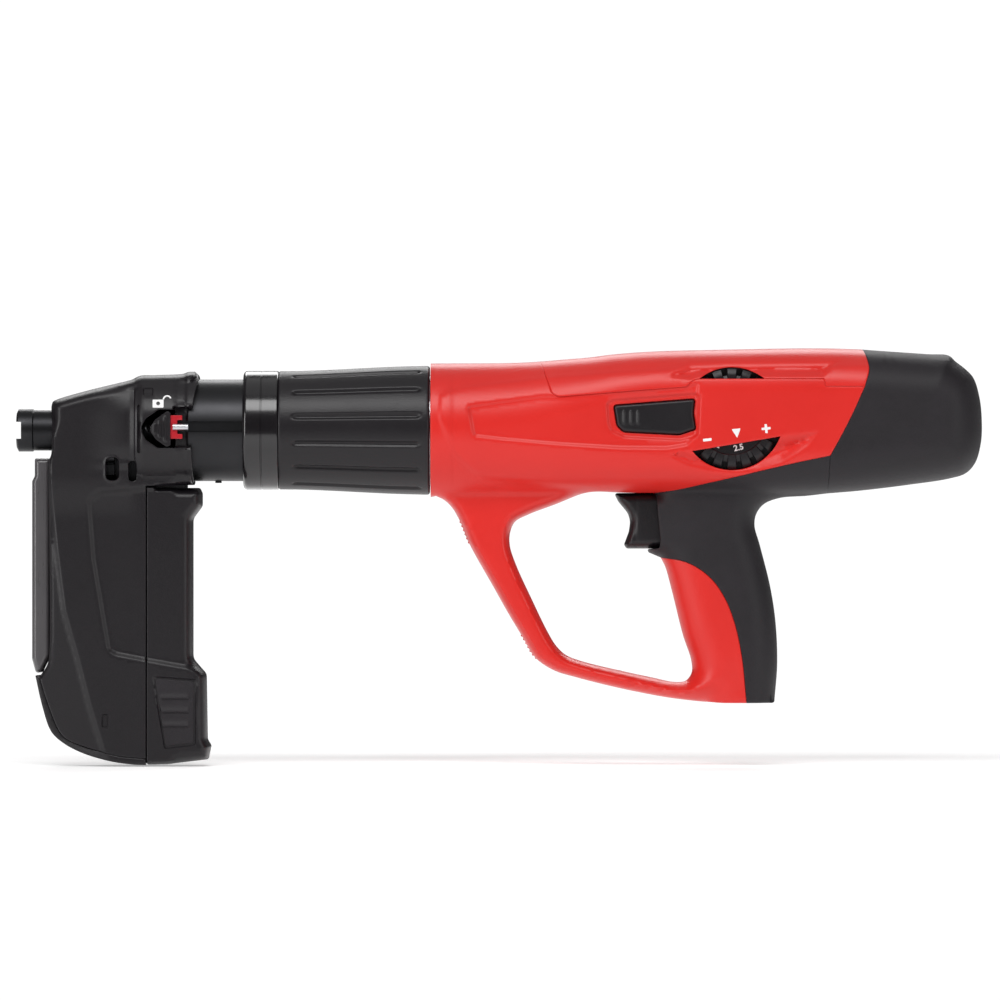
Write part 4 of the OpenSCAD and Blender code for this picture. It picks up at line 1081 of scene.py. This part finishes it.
class MagazineForm:
    """How far the magazine's side stands out from its middle plane."""

    def __init__(self, panel_depth):
        self.panel_depth = panel_depth
        self.panel = ccw(rounded(PANEL, PANEL_ROUND))
        cover = rounded(COVER_BACK, COVER_ROUND, 1.0, closed=False)
        self.top = path(MAG_TOP, 1.0)
        self.outer = join(self.top, path(MAG_REAR, 1.0), [(85.4, -27.2)], cover[5:],
                          path(BASE_OUT, 1.0)[::-1], path(MAG_FRONT, 1.0)[::-1])
        self.pad = ccw(rounded([(64.8, -120.9), (86.8, -122.6), (86.4, -155.2), (70.8, -157)],
                               [1.5, 1.5, 1.5, 1.5]))
        self.port = ccw(rounded([(75.4, -8.8), (90, -8.8), (90, 11.4), (75.4, 11.4)], 0.8))
        self.groove = ccw(rounded([(57.9, -11.5), (59.5, -11.5), (59.5, 12.4), (57.9, 12.4)], 0.75))
        self.stamp = ccw(rounded([(60.6, 16.8), (65.7, 16.8), (65.7, 20.8), (60.6, 20.8)], 0.9))
        self.back = cover[cover[:, 0] > 78]
        self.rim = arc_slot(45.4, -19.15, 6.4, 11.1)
        self.well = arc_slot(55.3, -20.2, 4.0, 9.9)
        self.hatch = ccw(rounded([(40.1, -146.3), (43.1, -146.3), (43.1, -139.7), (40.1, -139.7)], 0.5))

    def side(self, p):
        """The magazine's outer side with its reliefs."""
        x, z = p[:, 0], p[:, 1]
        before = np.maximum(np.interp(z, CREASE_Z, CREASE_X) - x, 0)
        low = MAG_HALF + 1.6 * smooth((z + 44) / 22) * smooth((56 - x) / 8 + 0.5)
        low = low - np.where(z < -10, 1.3 * ease(before / 2.4) + 0.11 * before, 0)
        edge = distance(p, self.back)
        low = low - 0.42 * np.clip(4.9 - edge, 0, 1.7) - 1.1 * np.clip(3.2 - edge, 0, 3.2)
        rim = np.maximum(distance(p, self.outer, True), 0)
        low = low * dome(rim / (2.2 + 3.4 * smooth((z + 4) / 10)), 2.2)
        ring = np.sqrt(np.maximum(HEAD_R ** 2 - z ** 2, 0))
        ring = -soft_max(-ring + 60, -np.full(len(p), 27.4) + 60, 1.0) + 60
        bar = np.clip((x - 53.8) / 3.0, 0, 1)
        rise = 0.6 * smooth((x - 30) / 24) + 0.15 * bar + 0.25 * ease((x - 56.8) / 4)
        head = np.minimum(low, 20.6) + np.maximum(ring - 20.6, 0) * rise * smooth((z + 27.5) / 8)
        head = head - 1.1 * (1 - bar) * smooth((x - 30) / 24) * smooth((z + 17) / 3) * smooth((24 - z) / 4)
        collar = np.where(z > -27.5, ring, 0)
        collar = np.where(z > 0, collar * dome(np.maximum(distance(p, self.top), 0) / 6.0, 2.0), collar)
        collar = collar * (0.93 + 0.07 * ease((x - 56.8) / 4))
        y = np.where(x > 56.8, np.maximum(np.minimum(low, 17.5), collar), head)
        y = np.where(z < -27.5, low, y)
        blocks = (x > 77.2) & ((z > 12.6) | ((z < -9.7) & (z > -20.6)))
        y = y + np.where(blocks, 0.7, 0)
        lip = ease((x - 81.6) / 0.5) * (z > -27)
        y = y + 0.5 * lip * np.clip(y / 10, 0, 1)
        y = y - self.panel_depth * ease(depth_in(p, self.panel) / 2.6)
        y = y - 0.9 * ease(depth_in(p, self.pad) / 0.5)
        y = y - 1.2 * ease(depth_in(p, self.groove) / 0.5)
        y = y - 0.8 * ease(depth_in(p, self.stamp) / 0.5)
        y = y - 0.8 * ease(depth_in(p, self.hatch) / 0.4)
        y = y + 0.45 * np.exp(-((np.abs(depth_in(p, self.rim)) - 0.35) / 0.5) ** 2)
        return y

    def left(self, p):
        """The left side, with the catch's sunken port."""
        return self.side(p) - 4.6 * ease(depth_in(p, self.port) / 0.5)


def arc_slot(x, z, wide, tall):
    """An upright slot with round ends."""
    r = wide / 2
    corners = [(x - r, z - tall / 2), (x + r, z - tall / 2), (x + r, z + tall / 2), (x - r, z + tall / 2)]
    return ccw(rounded(corners, r * 0.98, 0.5))


def magazine_shells(form, plastic):
    """The magazine's two shells."""
    shell = ccw(join(path(MAG_TOP), path(MAG_REAR), [(85.2, -26), (84.9, -27.0)],
                     resample(np.array([(84.9, -27.0), (SEAM_X - 0.2, -27.4)]), 0.9),
                     resample(np.array([(SEAM_X - 0.2, -27.4), (SEAM_X - 0.2, -161.6)]), 0.9),
                     path(BASE_IN)[::-1], path(MAG_FRONT)[::-1]))
    crease = resample(np.stack([CREASE_X, CREASE_Z], axis=1)[:-1].astype(float), 0.9)
    step = resample(np.array([(55.3, -27), (55.3, 26)]), 0.8)
    folds = [(form.panel, True, PANEL_FOLD), (crease, False, (-0.8, -0.3, 0.2, 0.8)),
             (step, False, (-1.6, -0.8, 0.0, 0.8, 1.6)), (form.groove, True, (0.0, 0.5)),
             (form.stamp, True, (0.0, 0.5)), (form.hatch, True, (0.0, 0.4)),
             (form.rim, True, (-1.1, -0.7, -0.35)),
             (resample(np.array([(81.85, -26), (81.85, 28)]), 0.7), False, (-0.3, 0.3)),
             (resample(np.array([(77.2, 13), (77.2, 27)]), 0.7), False, (-0.1, 0.1)),
             (resample(np.array([(77.2, -20), (77.2, -10)]), 0.7), False, (-0.1, 0.1))]
    left_folds = folds + [(form.port, True, (0.0, 0.5))]

    def mouth(p, y):
        reach = np.maximum(y - 3, 0)
        for radius, here in ((COLLAR_BORE_R, p[:, 0] > 83.5), (NOSE_BORE_R, p[:, 0] < 16.5)):
            bore = radius ** 2 - p[:, 1] ** 2
            reach = np.where(here & (bore > 0), np.minimum(np.sqrt(np.maximum(bore, 0)), y - 0.2), reach)
        return reach

    slide = ccw(rounded([(60.2, 1.7), (62.0, 5.4), (68.4, 9.9), (76.4, 9.9), (76.4, -8.9), (68.2, -8.9),
                         (62.2, -4.8), (60.2, -1.0)], [0.8, 3, 2, 0.5, 0.5, 2, 3, 0.8], 0.7))
    left = moulded("magazine_shell_left", shell, form.left, (-1,), [form.rim, form.well, slide], 1.5,
                   MAG_RIM, left_folds, inner=mouth, edge=0.45, parting=0.04)
    paint(left, plastic, "magazine", ["magazine_left"])
    right = moulded("magazine_shell_right", shell, form.side, (1,), [form.rim, form.well], 1.7,
                    MAG_RIM, folds, inner=mouth, edge=0.45, parting=0.04)
    paint(right, plastic, "magazine", ["magazine_right"])


def magazine_cover(form, plastic):
    """The sliding cover behind the magazine's shells."""
    cover = moulded("strip_cover", ccw(rounded(COVER_BACK, COVER_ROUND, 0.8)), form.side, (-1, 1), (), 1.4,
                    MAG_RIM + (2.4, 3.2, 4.0, 4.9),
                    [(form.panel, True, PANEL_FOLD), (form.pad, True, (0.0, 0.5))], edge=0.45)
    paint(cover, plastic, "magazine_cover", ["magazine_cover"])


def thumb_grips(black):
    """The cover's two thumb pads, each with three ribs."""
    outline = ccw(rounded([(66.4, -122.2), (85.4, -123.7), (85.0, -153.8), (71.6, -155.4)],
                          [1.2, 1.2, 1.2, 1.2]))

    def face(p):
        y = np.full(len(p), MAG_HALF - 0.7)
        span = ease((7.4 - np.abs(p[:, 0] - 76.2)) / 0.9)
        for z in THUMB_RIBS:
            up = p[:, 1] - z
            y = y + span * np.where(up < 0, np.exp(-(up / 0.5) ** 2), np.exp(-(up / 2.0) ** 2))
        return y

    folds = [(resample(np.array([(68.6, z), (83.8, z)]), 0.6), False, (-0.9, -0.4, 0.0, 0.5, 1.0, 1.7))
             for z in THUMB_RIBS]
    pads = moulded("thumb_grips", outline, face, (-1, 1), (), 1.1, (0.1, 0.3, 0.6), folds, wall=1.2,
                   edge=0.35)
    paint(pads, black, "magazine_cover", ["thumb_pads"])


def base_skid(plastic):
    """The guard round the magazine's lower front."""
    outline = ccw(join(path(BASE_IN), resample(np.array([(61.8, -161.6), (61.8, -164.8)]), 0.8),
                       path(BASE_OUT)[::-1]))
    skid = moulded("base_skid", outline, lambda p: np.interp(
        p[:, 0], [6, 20, 38, 44, 62], [7.0, 9.5, 15.2, MAG_HALF - 0.1, MAG_HALF]), (-1, 1), (), 0.9,
        (0.1, 0.3, 0.6), wall=3, edge=0.8)
    paint(skid, plastic, "magazine", ["base_guard"])


def nail_window(window):
    """The smoked pane along the magazine's front."""
    outline = ccw(rounded([(14.4, -13.8), (6.3, -13.8), (6.3, -22.6), (5.0, -25), (5.0, -113), (6.8, -119.8),
                           (10.4, -119.4), (14.4, -111)], [0, 0.9, 1.2, 1.2, 4, 1.5, 1, 3], 0.8))
    pane = moulded("nail_window", outline, lambda p: 6.0 * dome(distance(p, outline, True) / 2.4, 2.4),
                   (-1, 1), (), 1.2, MAG_RIM[:3] + (1.1, 1.7, 2.4), edge=0.2)
    paint(pane, window, "magazine", ["front_window"])


def latch_pieces(form, plastic, indicator, ink):
    """The ribbed release catch, its red indicator and the open-lock mark."""
    loop = ccw(rounded([(64.5, 1.6), (66.8, 5.1), (72.6, 9.3), (74.3, 8.6), (74.3, -7.6), (72.4, -8.4),
                        (67.0, -4.6), (64.5, -0.8)], [1.2, 2, 1, 0.8, 0.8, 1, 2, 1.2], 0.5))

    def face(p):
        y = np.full(len(p), CATCH_FACE)
        for k, x in enumerate(CATCH_RIBS):
            span = ease((2.6 + 1.9 * k - np.abs(p[:, 1] - 0.5)) / 0.6)
            y = y + 0.8 * np.exp(-((p[:, 0] - x) / 0.55) ** 2) * span
        return y

    ribs = [(resample(np.array([(x, -6.5), (x, 7.5)]), 0.5), False, (-0.8, -0.4, 0.0, 0.4, 0.8))
            for x in CATCH_RIBS]
    catch = moulded("catch", loop, face, (-1,), (), 0.9, (0.1, 0.3, 0.6), ribs, wall=4, edge=0.4)
    paint(catch, plastic, "release_catch", ["release_catch"])
    clip = ccw(rounded([(74.2, 7.2), (80.1, 7.2), (80.1, 4.8), (77.6, 4.8), (77.6, -2.0), (80.1, -2.0),
                        (80.1, -4.4), (74.2, -4.4)], [0.4, 0.6, 0.4, 0.5, 0.5, 0.4, 0.6, 0.4], 0.4))
    flag = moulded("lock_flag", clip, lambda p: np.full(len(p), FLAG_FACE), (-1,), (), 0.8, (0.1, 0.3),
                   wall=2, edge=0.3)
    paint(flag, indicator, "release_catch", ["catch_indicator"])
    body = rounded([(65.5, 10.9), (70.9, 10.9), (70.9, 14.9), (65.5, 14.9)], 0.5, 0.4)
    hole = ccw(arc(68.2, 13.0, 0.95, 0, 360, 0.4)[:-1])
    bow = join(arc(72.6, 14.9, 2.2, 180, 20, 0.5), arc(72.6, 14.9, 1.45, 20, 180, 0.5))
    mark("lock_mark", body, form.left, ink, "magazine", [hole])
    mark("lock_mark_bow", bow, form.left, ink, "magazine")


# ---------------------------------------------------------------- turned and ribbed pieces
def ring_piece(gloss):
    """The glossy front ring, with one turned line."""
    low, high = node_box("front_ring")
    x0, x1, r = low[0], high[0], high[2]
    profile = [(x0, BARREL_BORE_R), (x0, r - 2.2)]
    profile += [(x0 + 2.2 - 2.2 * math.cos(a), r - 2.2 + 2.2 * math.sin(a))
                for a in np.linspace(0.15, math.pi / 2, 9)]
    profile += [(x0 + 8.6, r), (x0 + 8.8, r - 0.25), (x0 + 9.2, r - 0.25), (x0 + 9.4, r), (x1 - 0.5, r),
                (x1 - 0.1, r - 0.3), (x1, r - 0.8), (x1, BARREL_BORE_R)]
    ring = lathe("ring", profile, 160)
    paint(ring, gloss, "return_unit", ["front_ring"])


def sleeve_piece(plastic, groove_count, groove_depth):
    """The grip sleeve, which widens rearward, with grooves along it."""
    low, high = node_box("ribbed_sleeve")
    a, b, big = low[0], high[0], high[2]
    small = big - 2.6
    profile = [(a, SLEEVE_BORE_R), (a, small - 1.0), (a + 0.3, small - 0.3)]
    profile += [(x, small + (big - small) * smooth(np.array([(x - a) / (b - a)]))[0])
                for x in np.linspace(a + 0.9, b - 1.0, 72)]
    profile += [(b - 0.35, big - 0.35), (b, big - 1.1), (b, SLEEVE_BORE_R)]
    start, end, half = a + 7.2, b - 4.4, 1.75

    def grooves(x, angle):
        pitch = 2 * math.pi / groove_count
        off = (np.mod(angle + pitch / 2, pitch) - pitch / 2) * 30.5
        past = np.maximum(np.maximum(start + half - x, x - end + half), 0)
        gap = half - np.sqrt(past ** 2 + off ** 2)
        return -groove_depth * ease(gap / 1.3)

    sleeve = lathe("grip_sleeve", profile, groove_count * 30, grooves, sharp=50)
    paint(sleeve, plastic, "return_unit", ["ribbed_sleeve"])


# ---------------------------------------------------------------- settings
class FinishSettings(bpy.types.PropertyGroup):
    """Colours of the nail gun's finishes."""
    red: bpy.props.FloatVectorProperty(
        name="Housing", description="Colour of the moulded housing", subtype="COLOR", size=3,
        default=(0.66, 0.020, 0.015), min=0, max=1)
    rubber: bpy.props.FloatVectorProperty(
        name="Grip rubber", description="Colour of the soft grip and the rear cap", subtype="COLOR", size=3,
        default=(0.0125, 0.0100, 0.0128), min=0, max=1)
    plastic: bpy.props.FloatVectorProperty(
        name="Black plastic", description="Colour of the magazine, sleeve and controls", subtype="COLOR",
        size=3, default=(0.0078, 0.0062, 0.0080), min=0, max=1)
    window: bpy.props.FloatVectorProperty(
        name="Nail window", description="Colour of the smoked window", subtype="COLOR", size=3,
        default=(0.075, 0.07, 0.074), min=0, max=1)
    flag: bpy.props.FloatVectorProperty(
        name="Indicator", description="Colour of the lock indicator", subtype="COLOR", size=3,
        default=(0.42, 0.01, 0.018), min=0, max=1)
    ink: bpy.props.FloatVectorProperty(
        name="Marks", description="Colour of the printed marks", subtype="COLOR", size=3,
        default=(0.86, 0.85, 0.85), min=0, max=1)
    steel: bpy.props.FloatVectorProperty(
        name="Steel", description="Colour of the bare turned steel", subtype="COLOR", size=3,
        default=(0.50, 0.50, 0.52), min=0, max=1)
    oxide: bpy.props.FloatVectorProperty(
        name="Blackened steel", description="Colour of the blackened steel", subtype="COLOR", size=3,
        default=(0.03, 0.03, 0.032), min=0, max=1)


class ShapeSettings(bpy.types.PropertyGroup):
    """Sizes of the nail gun's moulded details."""
    badge_depth: bpy.props.FloatProperty(
        name="Badge recess", description="Depth of the blank badge panel, in millimetres",
        default=1.35, min=0, max=2)
    shoulder: bpy.props.FloatProperty(
        name="Shoulder", description="Height of the housing's shoulder line, in millimetres",
        default=0.95, min=0, max=1.5)
    panel_depth: bpy.props.FloatProperty(
        name="Magazine panel", description="Depth of the magazine's side panel, in millimetres",
        default=1.7, min=0, max=2.5)
    groove_count: bpy.props.IntProperty(
        name="Sleeve grooves", description="Number of grooves around the grip sleeve",
        default=14, min=8, max=20)
    groove_depth: bpy.props.FloatProperty(
        name="Groove depth", description="Depth of the grip sleeve's grooves, in millimetres",
        default=1.15, min=0.3, max=1.5)


class StageSettings(bpy.types.PropertyGroup):
    """The camera, floor and lights."""
    lens: bpy.props.FloatProperty(
        name="Lens", description="Focal length of the camera", default=300, min=35, max=600,
        subtype="DISTANCE_CAMERA")
    width: bpy.props.FloatProperty(
        name="View width", description="Width that the camera sees at the gun's middle plane", default=0.4938,
        min=0.2, max=2, unit="LENGTH")
    key: bpy.props.FloatProperty(
        name="Key light", description="Power of the large light above", default=31, min=0, unit="POWER")
    fill: bpy.props.FloatProperty(
        name="Side lights", description="Power of each side light", default=9, min=0, unit="POWER")
    floor: bpy.props.FloatVectorProperty(
        name="Floor", description="Colour of the studio floor", subtype="COLOR", size=3,
        default=(0.93, 0.93, 0.93), min=0, max=1)


def finish_for(name):
    """One of the shared finishes, made when it is first needed."""
    ready = bpy.data.materials.get(name)
    if ready:
        return ready
    chosen = bpy.context.scene.nail_gun_finish
    red, black, window, flag, ink, steel, oxide, soft = (
        tuple(color) for color in (chosen.red, chosen.plastic, chosen.window, chosen.flag, chosen.ink,
                                   chosen.steel, chosen.oxide, chosen.rubber))
    makers = {
        "satin_red": lambda: moulded_plastic(name, red, 0.34, 2400, 0.00003),
        "soft_rubber": lambda: rubber(name, soft),
        # The black's edges are painted 2.2 times paler, a painted highlight.
        "black_moulding": lambda: moulded_plastic(name, black, 0.38, 1900, 0.00004, edge_highlight=2.2),
        "polished_black": lambda: moulded_plastic(name, tint(black, 0.7), 0.2, 3000, 0.00001,
                                                  coat=0.6),
        "smoked_window": lambda: smoked_window(name, window),
        "white_ink": lambda: printed_ink(name, ink),
        "flag_red": lambda: moulded_plastic(name, flag, 0.35, 2400, 0.00002),
        "turned_steel": lambda: turned_metal(name, steel, 0.3),
        "black_oxide": lambda: turned_metal(name, oxide, 0.38),
    }
    return makers[name]()


def housing_form():
    """The housing's form at the chosen sizes."""
    shape = bpy.context.scene.nail_gun_shape
    return Form(shape.badge_depth, shape.shoulder)


def magazine_form():
    """The magazine's form at the chosen sizes."""
    return MagazineForm(bpy.context.scene.nail_gun_shape.panel_depth)


# ---------------------------------------------------------------- operators
class NAILGUN_OT_shells(bpy.types.Operator):
    """Build the two red shells with the hand guard"""
    bl_idname = "nail_gun.shells"
    bl_label = "Shells"

    def execute(self, context):
        shell_pieces(housing_form(), finish_for("satin_red"))
        return {"FINISHED"}


class NAILGUN_OT_top_cover(bpy.types.Operator):
    """Build the top cover over the shells"""
    bl_idname = "nail_gun.top_cover"
    bl_label = "Top cover"

    def execute(self, context):
        lid_piece(housing_form(), finish_for("satin_red"))
        return {"FINISHED"}


class NAILGUN_OT_rear_cap(bpy.types.Operator):
    """Build the soft rear cap"""
    bl_idname = "nail_gun.rear_cap"
    bl_label = "Rear cap"

    def execute(self, context):
        cap_piece(housing_form(), finish_for("soft_rubber"))
        return {"FINISHED"}


class NAILGUN_OT_grip(bpy.types.Operator):
    """Build the soft grip"""
    bl_idname = "nail_gun.grip"
    bl_label = "Grip"

    def execute(self, context):
        grip_piece(housing_form(), finish_for("soft_rubber"))
        return {"FINISHED"}


class NAILGUN_OT_release_button(bpy.types.Operator):
    """Build the ribbed release button"""
    bl_idname = "nail_gun.release_button"
    bl_label = "Release button"

    def execute(self, context):
        release_button(housing_form(), finish_for("black_moulding"))
        return {"FINISHED"}


class NAILGUN_OT_trigger(bpy.types.Operator):
    """Build the trigger's finger pad"""
    bl_idname = "nail_gun.trigger"
    bl_label = "Trigger"

    def execute(self, context):
        trigger_piece(finish_for("black_moulding"))
        return {"FINISHED"}


class NAILGUN_OT_power_wheel(bpy.types.Operator):
    """Build the power wheel with its numbers and index lines"""
    bl_idname = "nail_gun.power_wheel"
    bl_label = "Power wheel"

    def execute(self, context):
        power_wheel(finish_for("black_moulding"), finish_for("white_ink"))
        return {"FINISHED"}


class NAILGUN_OT_housing_marks(bpy.types.Operator):
    """Build the printed marks over the power wheel"""
    bl_idname = "nail_gun.housing_marks"
    bl_label = "Housing marks"

    def execute(self, context):
        housing_marks(housing_form(), finish_for("white_ink"))
        return {"FINISHED"}


class NAILGUN_OT_magazine_shells(bpy.types.Operator):
    """Build the magazine's two shells"""
    bl_idname = "nail_gun.magazine_shells"
    bl_label = "Magazine shells"

    def execute(self, context):
        magazine_shells(magazine_form(), finish_for("black_moulding"))
        return {"FINISHED"}


class NAILGUN_OT_magazine_cover(bpy.types.Operator):
    """Build the sliding magazine cover"""
    bl_idname = "nail_gun.magazine_cover"
    bl_label = "Magazine cover"

    def execute(self, context):
        magazine_cover(magazine_form(), finish_for("black_moulding"))
        return {"FINISHED"}


class NAILGUN_OT_thumb_grips(bpy.types.Operator):
    """Build the ribbed thumb grips on the magazine cover"""
    bl_idname = "nail_gun.thumb_grips"
    bl_label = "Thumb grips"

    def execute(self, context):
        thumb_grips(finish_for("soft_rubber"))
        return {"FINISHED"}


class NAILGUN_OT_base_skid(bpy.types.Operator):
    """Build the guard round the magazine's lower front"""
    bl_idname = "nail_gun.base_skid"
    bl_label = "Base skid"

    def execute(self, context):
        base_skid(finish_for("black_moulding"))
        return {"FINISHED"}


class NAILGUN_OT_nail_window(bpy.types.Operator):
    """Build the smoked pane along the magazine's front"""
    bl_idname = "nail_gun.nail_window"
    bl_label = "Nail window"

    def execute(self, context):
        nail_window(finish_for("smoked_window"))
        return {"FINISHED"}


class NAILGUN_OT_latch(bpy.types.Operator):
    """Build the release catch, its indicator and the open-lock mark"""
    bl_idname = "nail_gun.latch"
    bl_label = "Latch"

    def execute(self, context):
        latch_pieces(magazine_form(), finish_for("black_moulding"), finish_for("flag_red"),
                     finish_for("white_ink"))
        return {"FINISHED"}


class NAILGUN_OT_front_ring(bpy.types.Operator):
    """Build the glossy front ring"""
    bl_idname = "nail_gun.front_ring"
    bl_label = "Front ring"

    def execute(self, context):
        ring_piece(finish_for("polished_black"))
        return {"FINISHED"}


class NAILGUN_OT_grip_sleeve(bpy.types.Operator):
    """Build the grooved grip sleeve"""
    bl_idname = "nail_gun.grip_sleeve"
    bl_label = "Grip sleeve"

    def execute(self, context):
        shape = context.scene.nail_gun_shape
        sleeve_piece(finish_for("black_moulding"), shape.groove_count, shape.groove_depth)
        return {"FINISHED"}


INNER_FINISH = {"steel": "turned_steel", "black_steel": "black_oxide", "gloss_black": "polished_black",
                "soft_black": "soft_rubber", "black_plastic": "black_moulding", "housing_red": "satin_red",
                "window_grey": "smoked_window", "indicator_red": "flag_red"}
BLACKENED = ("nail_channel", "breech_block", "wheel_bracket", "nail_follower", "roller_spring", "roller_pin",
             "magazine_screws", "housing_screws", "cartridge_guide", "wheel_axle", "catch_spring")


class NAILGUN_OT_works(bpy.types.Operator):
    """Give the frame's own parts, such as the nosepiece and the works inside, their finishes"""
    bl_idname = "nail_gun.works"
    bl_label = "Works"

    def execute(self, context):
        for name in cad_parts:
            part = bpy.data.objects[name]
            for slot in part.material_slots:
                kind = slot.material.name.split(".")[0] if slot.material else ""
                if kind not in INNER_FINISH:
                    raise RuntimeError(f"{name} has no known finish: {kind}")
                look = "black_oxide" if name in BLACKENED else INNER_FINISH[kind]
                slot.material = finish_for(look)
        return {"FINISHED"}


class NAILGUN_OT_stage(bpy.types.Operator):
    """Set up the floor, the soft lights and the camera"""
    bl_idname = "nail_gun.stage"
    bl_label = "Stage"

    def execute(self, context):
        build_stage(context.scene, context.scene.nail_gun_stage)
        return {"FINISHED"}


VIEW_CENTRE = (0.2360, 0.0, -0.0344)
FLOOR_GAP = 0.0006
FLOOR_REACH = 1.15
FLOOR_GLOW = 0.36
WORLD_FILL = 0.1
WORLD_SEEN = 1.05


def build_stage(scene, stage):
    """A plain pale floor under soft studio light, and a camera square to the gun's side."""
    middle = Vector(VIEW_CENTRE)
    floor_z = CAD_BOX[0][2] - FLOOR_GAP
    camera = bpy.data.cameras.new("camera")
    camera.lens = stage.lens
    camera.clip_end = 60
    holder = bpy.data.objects.new("camera", camera)
    scene.collection.objects.link(holder)
    holder.location = middle - Vector((0, stage.width * stage.lens / camera.sensor_width, 0))
    holder.rotation_euler = (math.pi / 2, 0, 0)
    scene.camera = holder

    reach, rings, spokes = FLOOR_REACH, 8, 64
    verts, faces = [(middle.x, 0, floor_z)], []
    for i in range(rings):
        r = reach * ((i + 1) / rings) ** 2
        for j in range(spokes):
            a = 2 * math.pi * j / spokes
            verts.append((middle.x + r * math.cos(a), r * math.sin(a), floor_z))
    for j in range(spokes):
        faces.append((0, 1 + j, 1 + (j + 1) % spokes))
    for i in range(rings - 1):
        for j in range(spokes):
            a, b = 1 + i * spokes + j, 1 + i * spokes + (j + 1) % spokes
            faces.append((a, a + spokes, b + spokes, b))
    floor = mesh_piece("floor", verts, faces, 60)
    look = Look("pale_floor")
    grain = look.noise(7, 3.0)
    look.set(Base_Color=look.blend(grain, tint(stage.floor, 0.985), tuple(stage.floor)),
             Roughness=0.9 + 0.05 * grain, Emission_Color=(1.0, 1.0, 1.0, 1.0),
             Emission_Strength=FLOOR_GLOW)
    floor.data.materials.append(look.material)

    world = bpy.data.worlds.new("studio")
    world.use_nodes = True
    scene.world = world
    tree = world.node_tree
    ground = tree.nodes["Background"]
    ground.inputs["Color"].default_value = (1, 1, 1, 1)
    seen = tree.nodes.new("ShaderNodeLightPath")
    level = tree.nodes.new("ShaderNodeMapRange")
    level.inputs["To Min"].default_value = WORLD_FILL
    level.inputs["To Max"].default_value = WORLD_SEEN
    tree.links.new(seen.outputs["Is Camera Ray"], level.inputs["Value"])
    tree.links.new(level.outputs["Result"], ground.inputs["Strength"])

    lights = (("key", (0.05, -1.5, 1.75), 1.7, 0.9, stage.key),
              ("over", (0.3, 0.2, 2.4), 2.2, 2.2, stage.key * 0.2),
              ("left", (-1.5, -1.3, 0.35), 0.6, 1.4, stage.fill * 1.9),
              ("right", (2.0, -1.2, 0.5), 0.5, 1.3, stage.fill),
              ("back", (0.3, 1.7, 1.1), 1.6, 0.8, stage.fill * 1.6))
    for name, place, wide, tall, power in lights:
        light = bpy.data.lights.new(name, "AREA")
        light.shape = "RECTANGLE"
        light.size, light.size_y = wide, tall
        light.energy = power
        lamp = bpy.data.objects.new(name, light)
        scene.collection.objects.link(lamp)
        lamp.location = place
        lamp.rotation_euler = (middle - Vector(place)).to_track_quat("-Z", "Y").to_euler()
    scene.view_settings.view_transform = "Standard"


class NAILGUN_PT_panel(bpy.types.Panel):
    """The nail gun's sizes, colours and pieces"""
    bl_idname = "NAILGUN_PT_panel"
    bl_label = "Nail Gun"
    bl_space_type = "VIEW_3D"
    bl_region_type = "UI"
    bl_category = "Nail Gun"

    def draw(self, context):
        layout = self.layout
        for group in (context.scene.nail_gun_shape, context.scene.nail_gun_finish,
                      context.scene.nail_gun_stage):
            box = layout.box()
            for name in group.__annotations__:
                box.prop(group, name)
        for operator in STEPS:
            layout.operator(operator.bl_idname)


SETTINGS = (FinishSettings, ShapeSettings, StageSettings)
STEPS = (NAILGUN_OT_shells, NAILGUN_OT_top_cover, NAILGUN_OT_rear_cap, NAILGUN_OT_grip,
         NAILGUN_OT_release_button, NAILGUN_OT_trigger, NAILGUN_OT_power_wheel, NAILGUN_OT_housing_marks,
         NAILGUN_OT_magazine_shells, NAILGUN_OT_magazine_cover, NAILGUN_OT_thumb_grips,
         NAILGUN_OT_base_skid, NAILGUN_OT_nail_window, NAILGUN_OT_latch, NAILGUN_OT_front_ring,
         NAILGUN_OT_grip_sleeve, NAILGUN_OT_works, NAILGUN_OT_stage)


def register():
    """Adds the settings, the operators and the panel."""
    for kind in SETTINGS + STEPS + (NAILGUN_PT_panel,):
        bpy.utils.register_class(kind)
    bpy.types.Scene.nail_gun_finish = bpy.props.PointerProperty(type=FinishSettings)
    bpy.types.Scene.nail_gun_shape = bpy.props.PointerProperty(type=ShapeSettings)
    bpy.types.Scene.nail_gun_stage = bpy.props.PointerProperty(type=StageSettings)


def unregister():
    """Takes them away again."""
    del bpy.types.Scene.nail_gun_stage
    del bpy.types.Scene.nail_gun_shape
    del bpy.types.Scene.nail_gun_finish
    for kind in reversed(SETTINGS + STEPS + (NAILGUN_PT_panel,)):
        bpy.utils.unregister_class(kind)


def main():
    """Builds every piece in order."""
    register()
    for step in STEPS:
        getattr(bpy.ops.nail_gun, step.bl_idname.split(".")[1])()


if __name__ == "__main__":
    main()
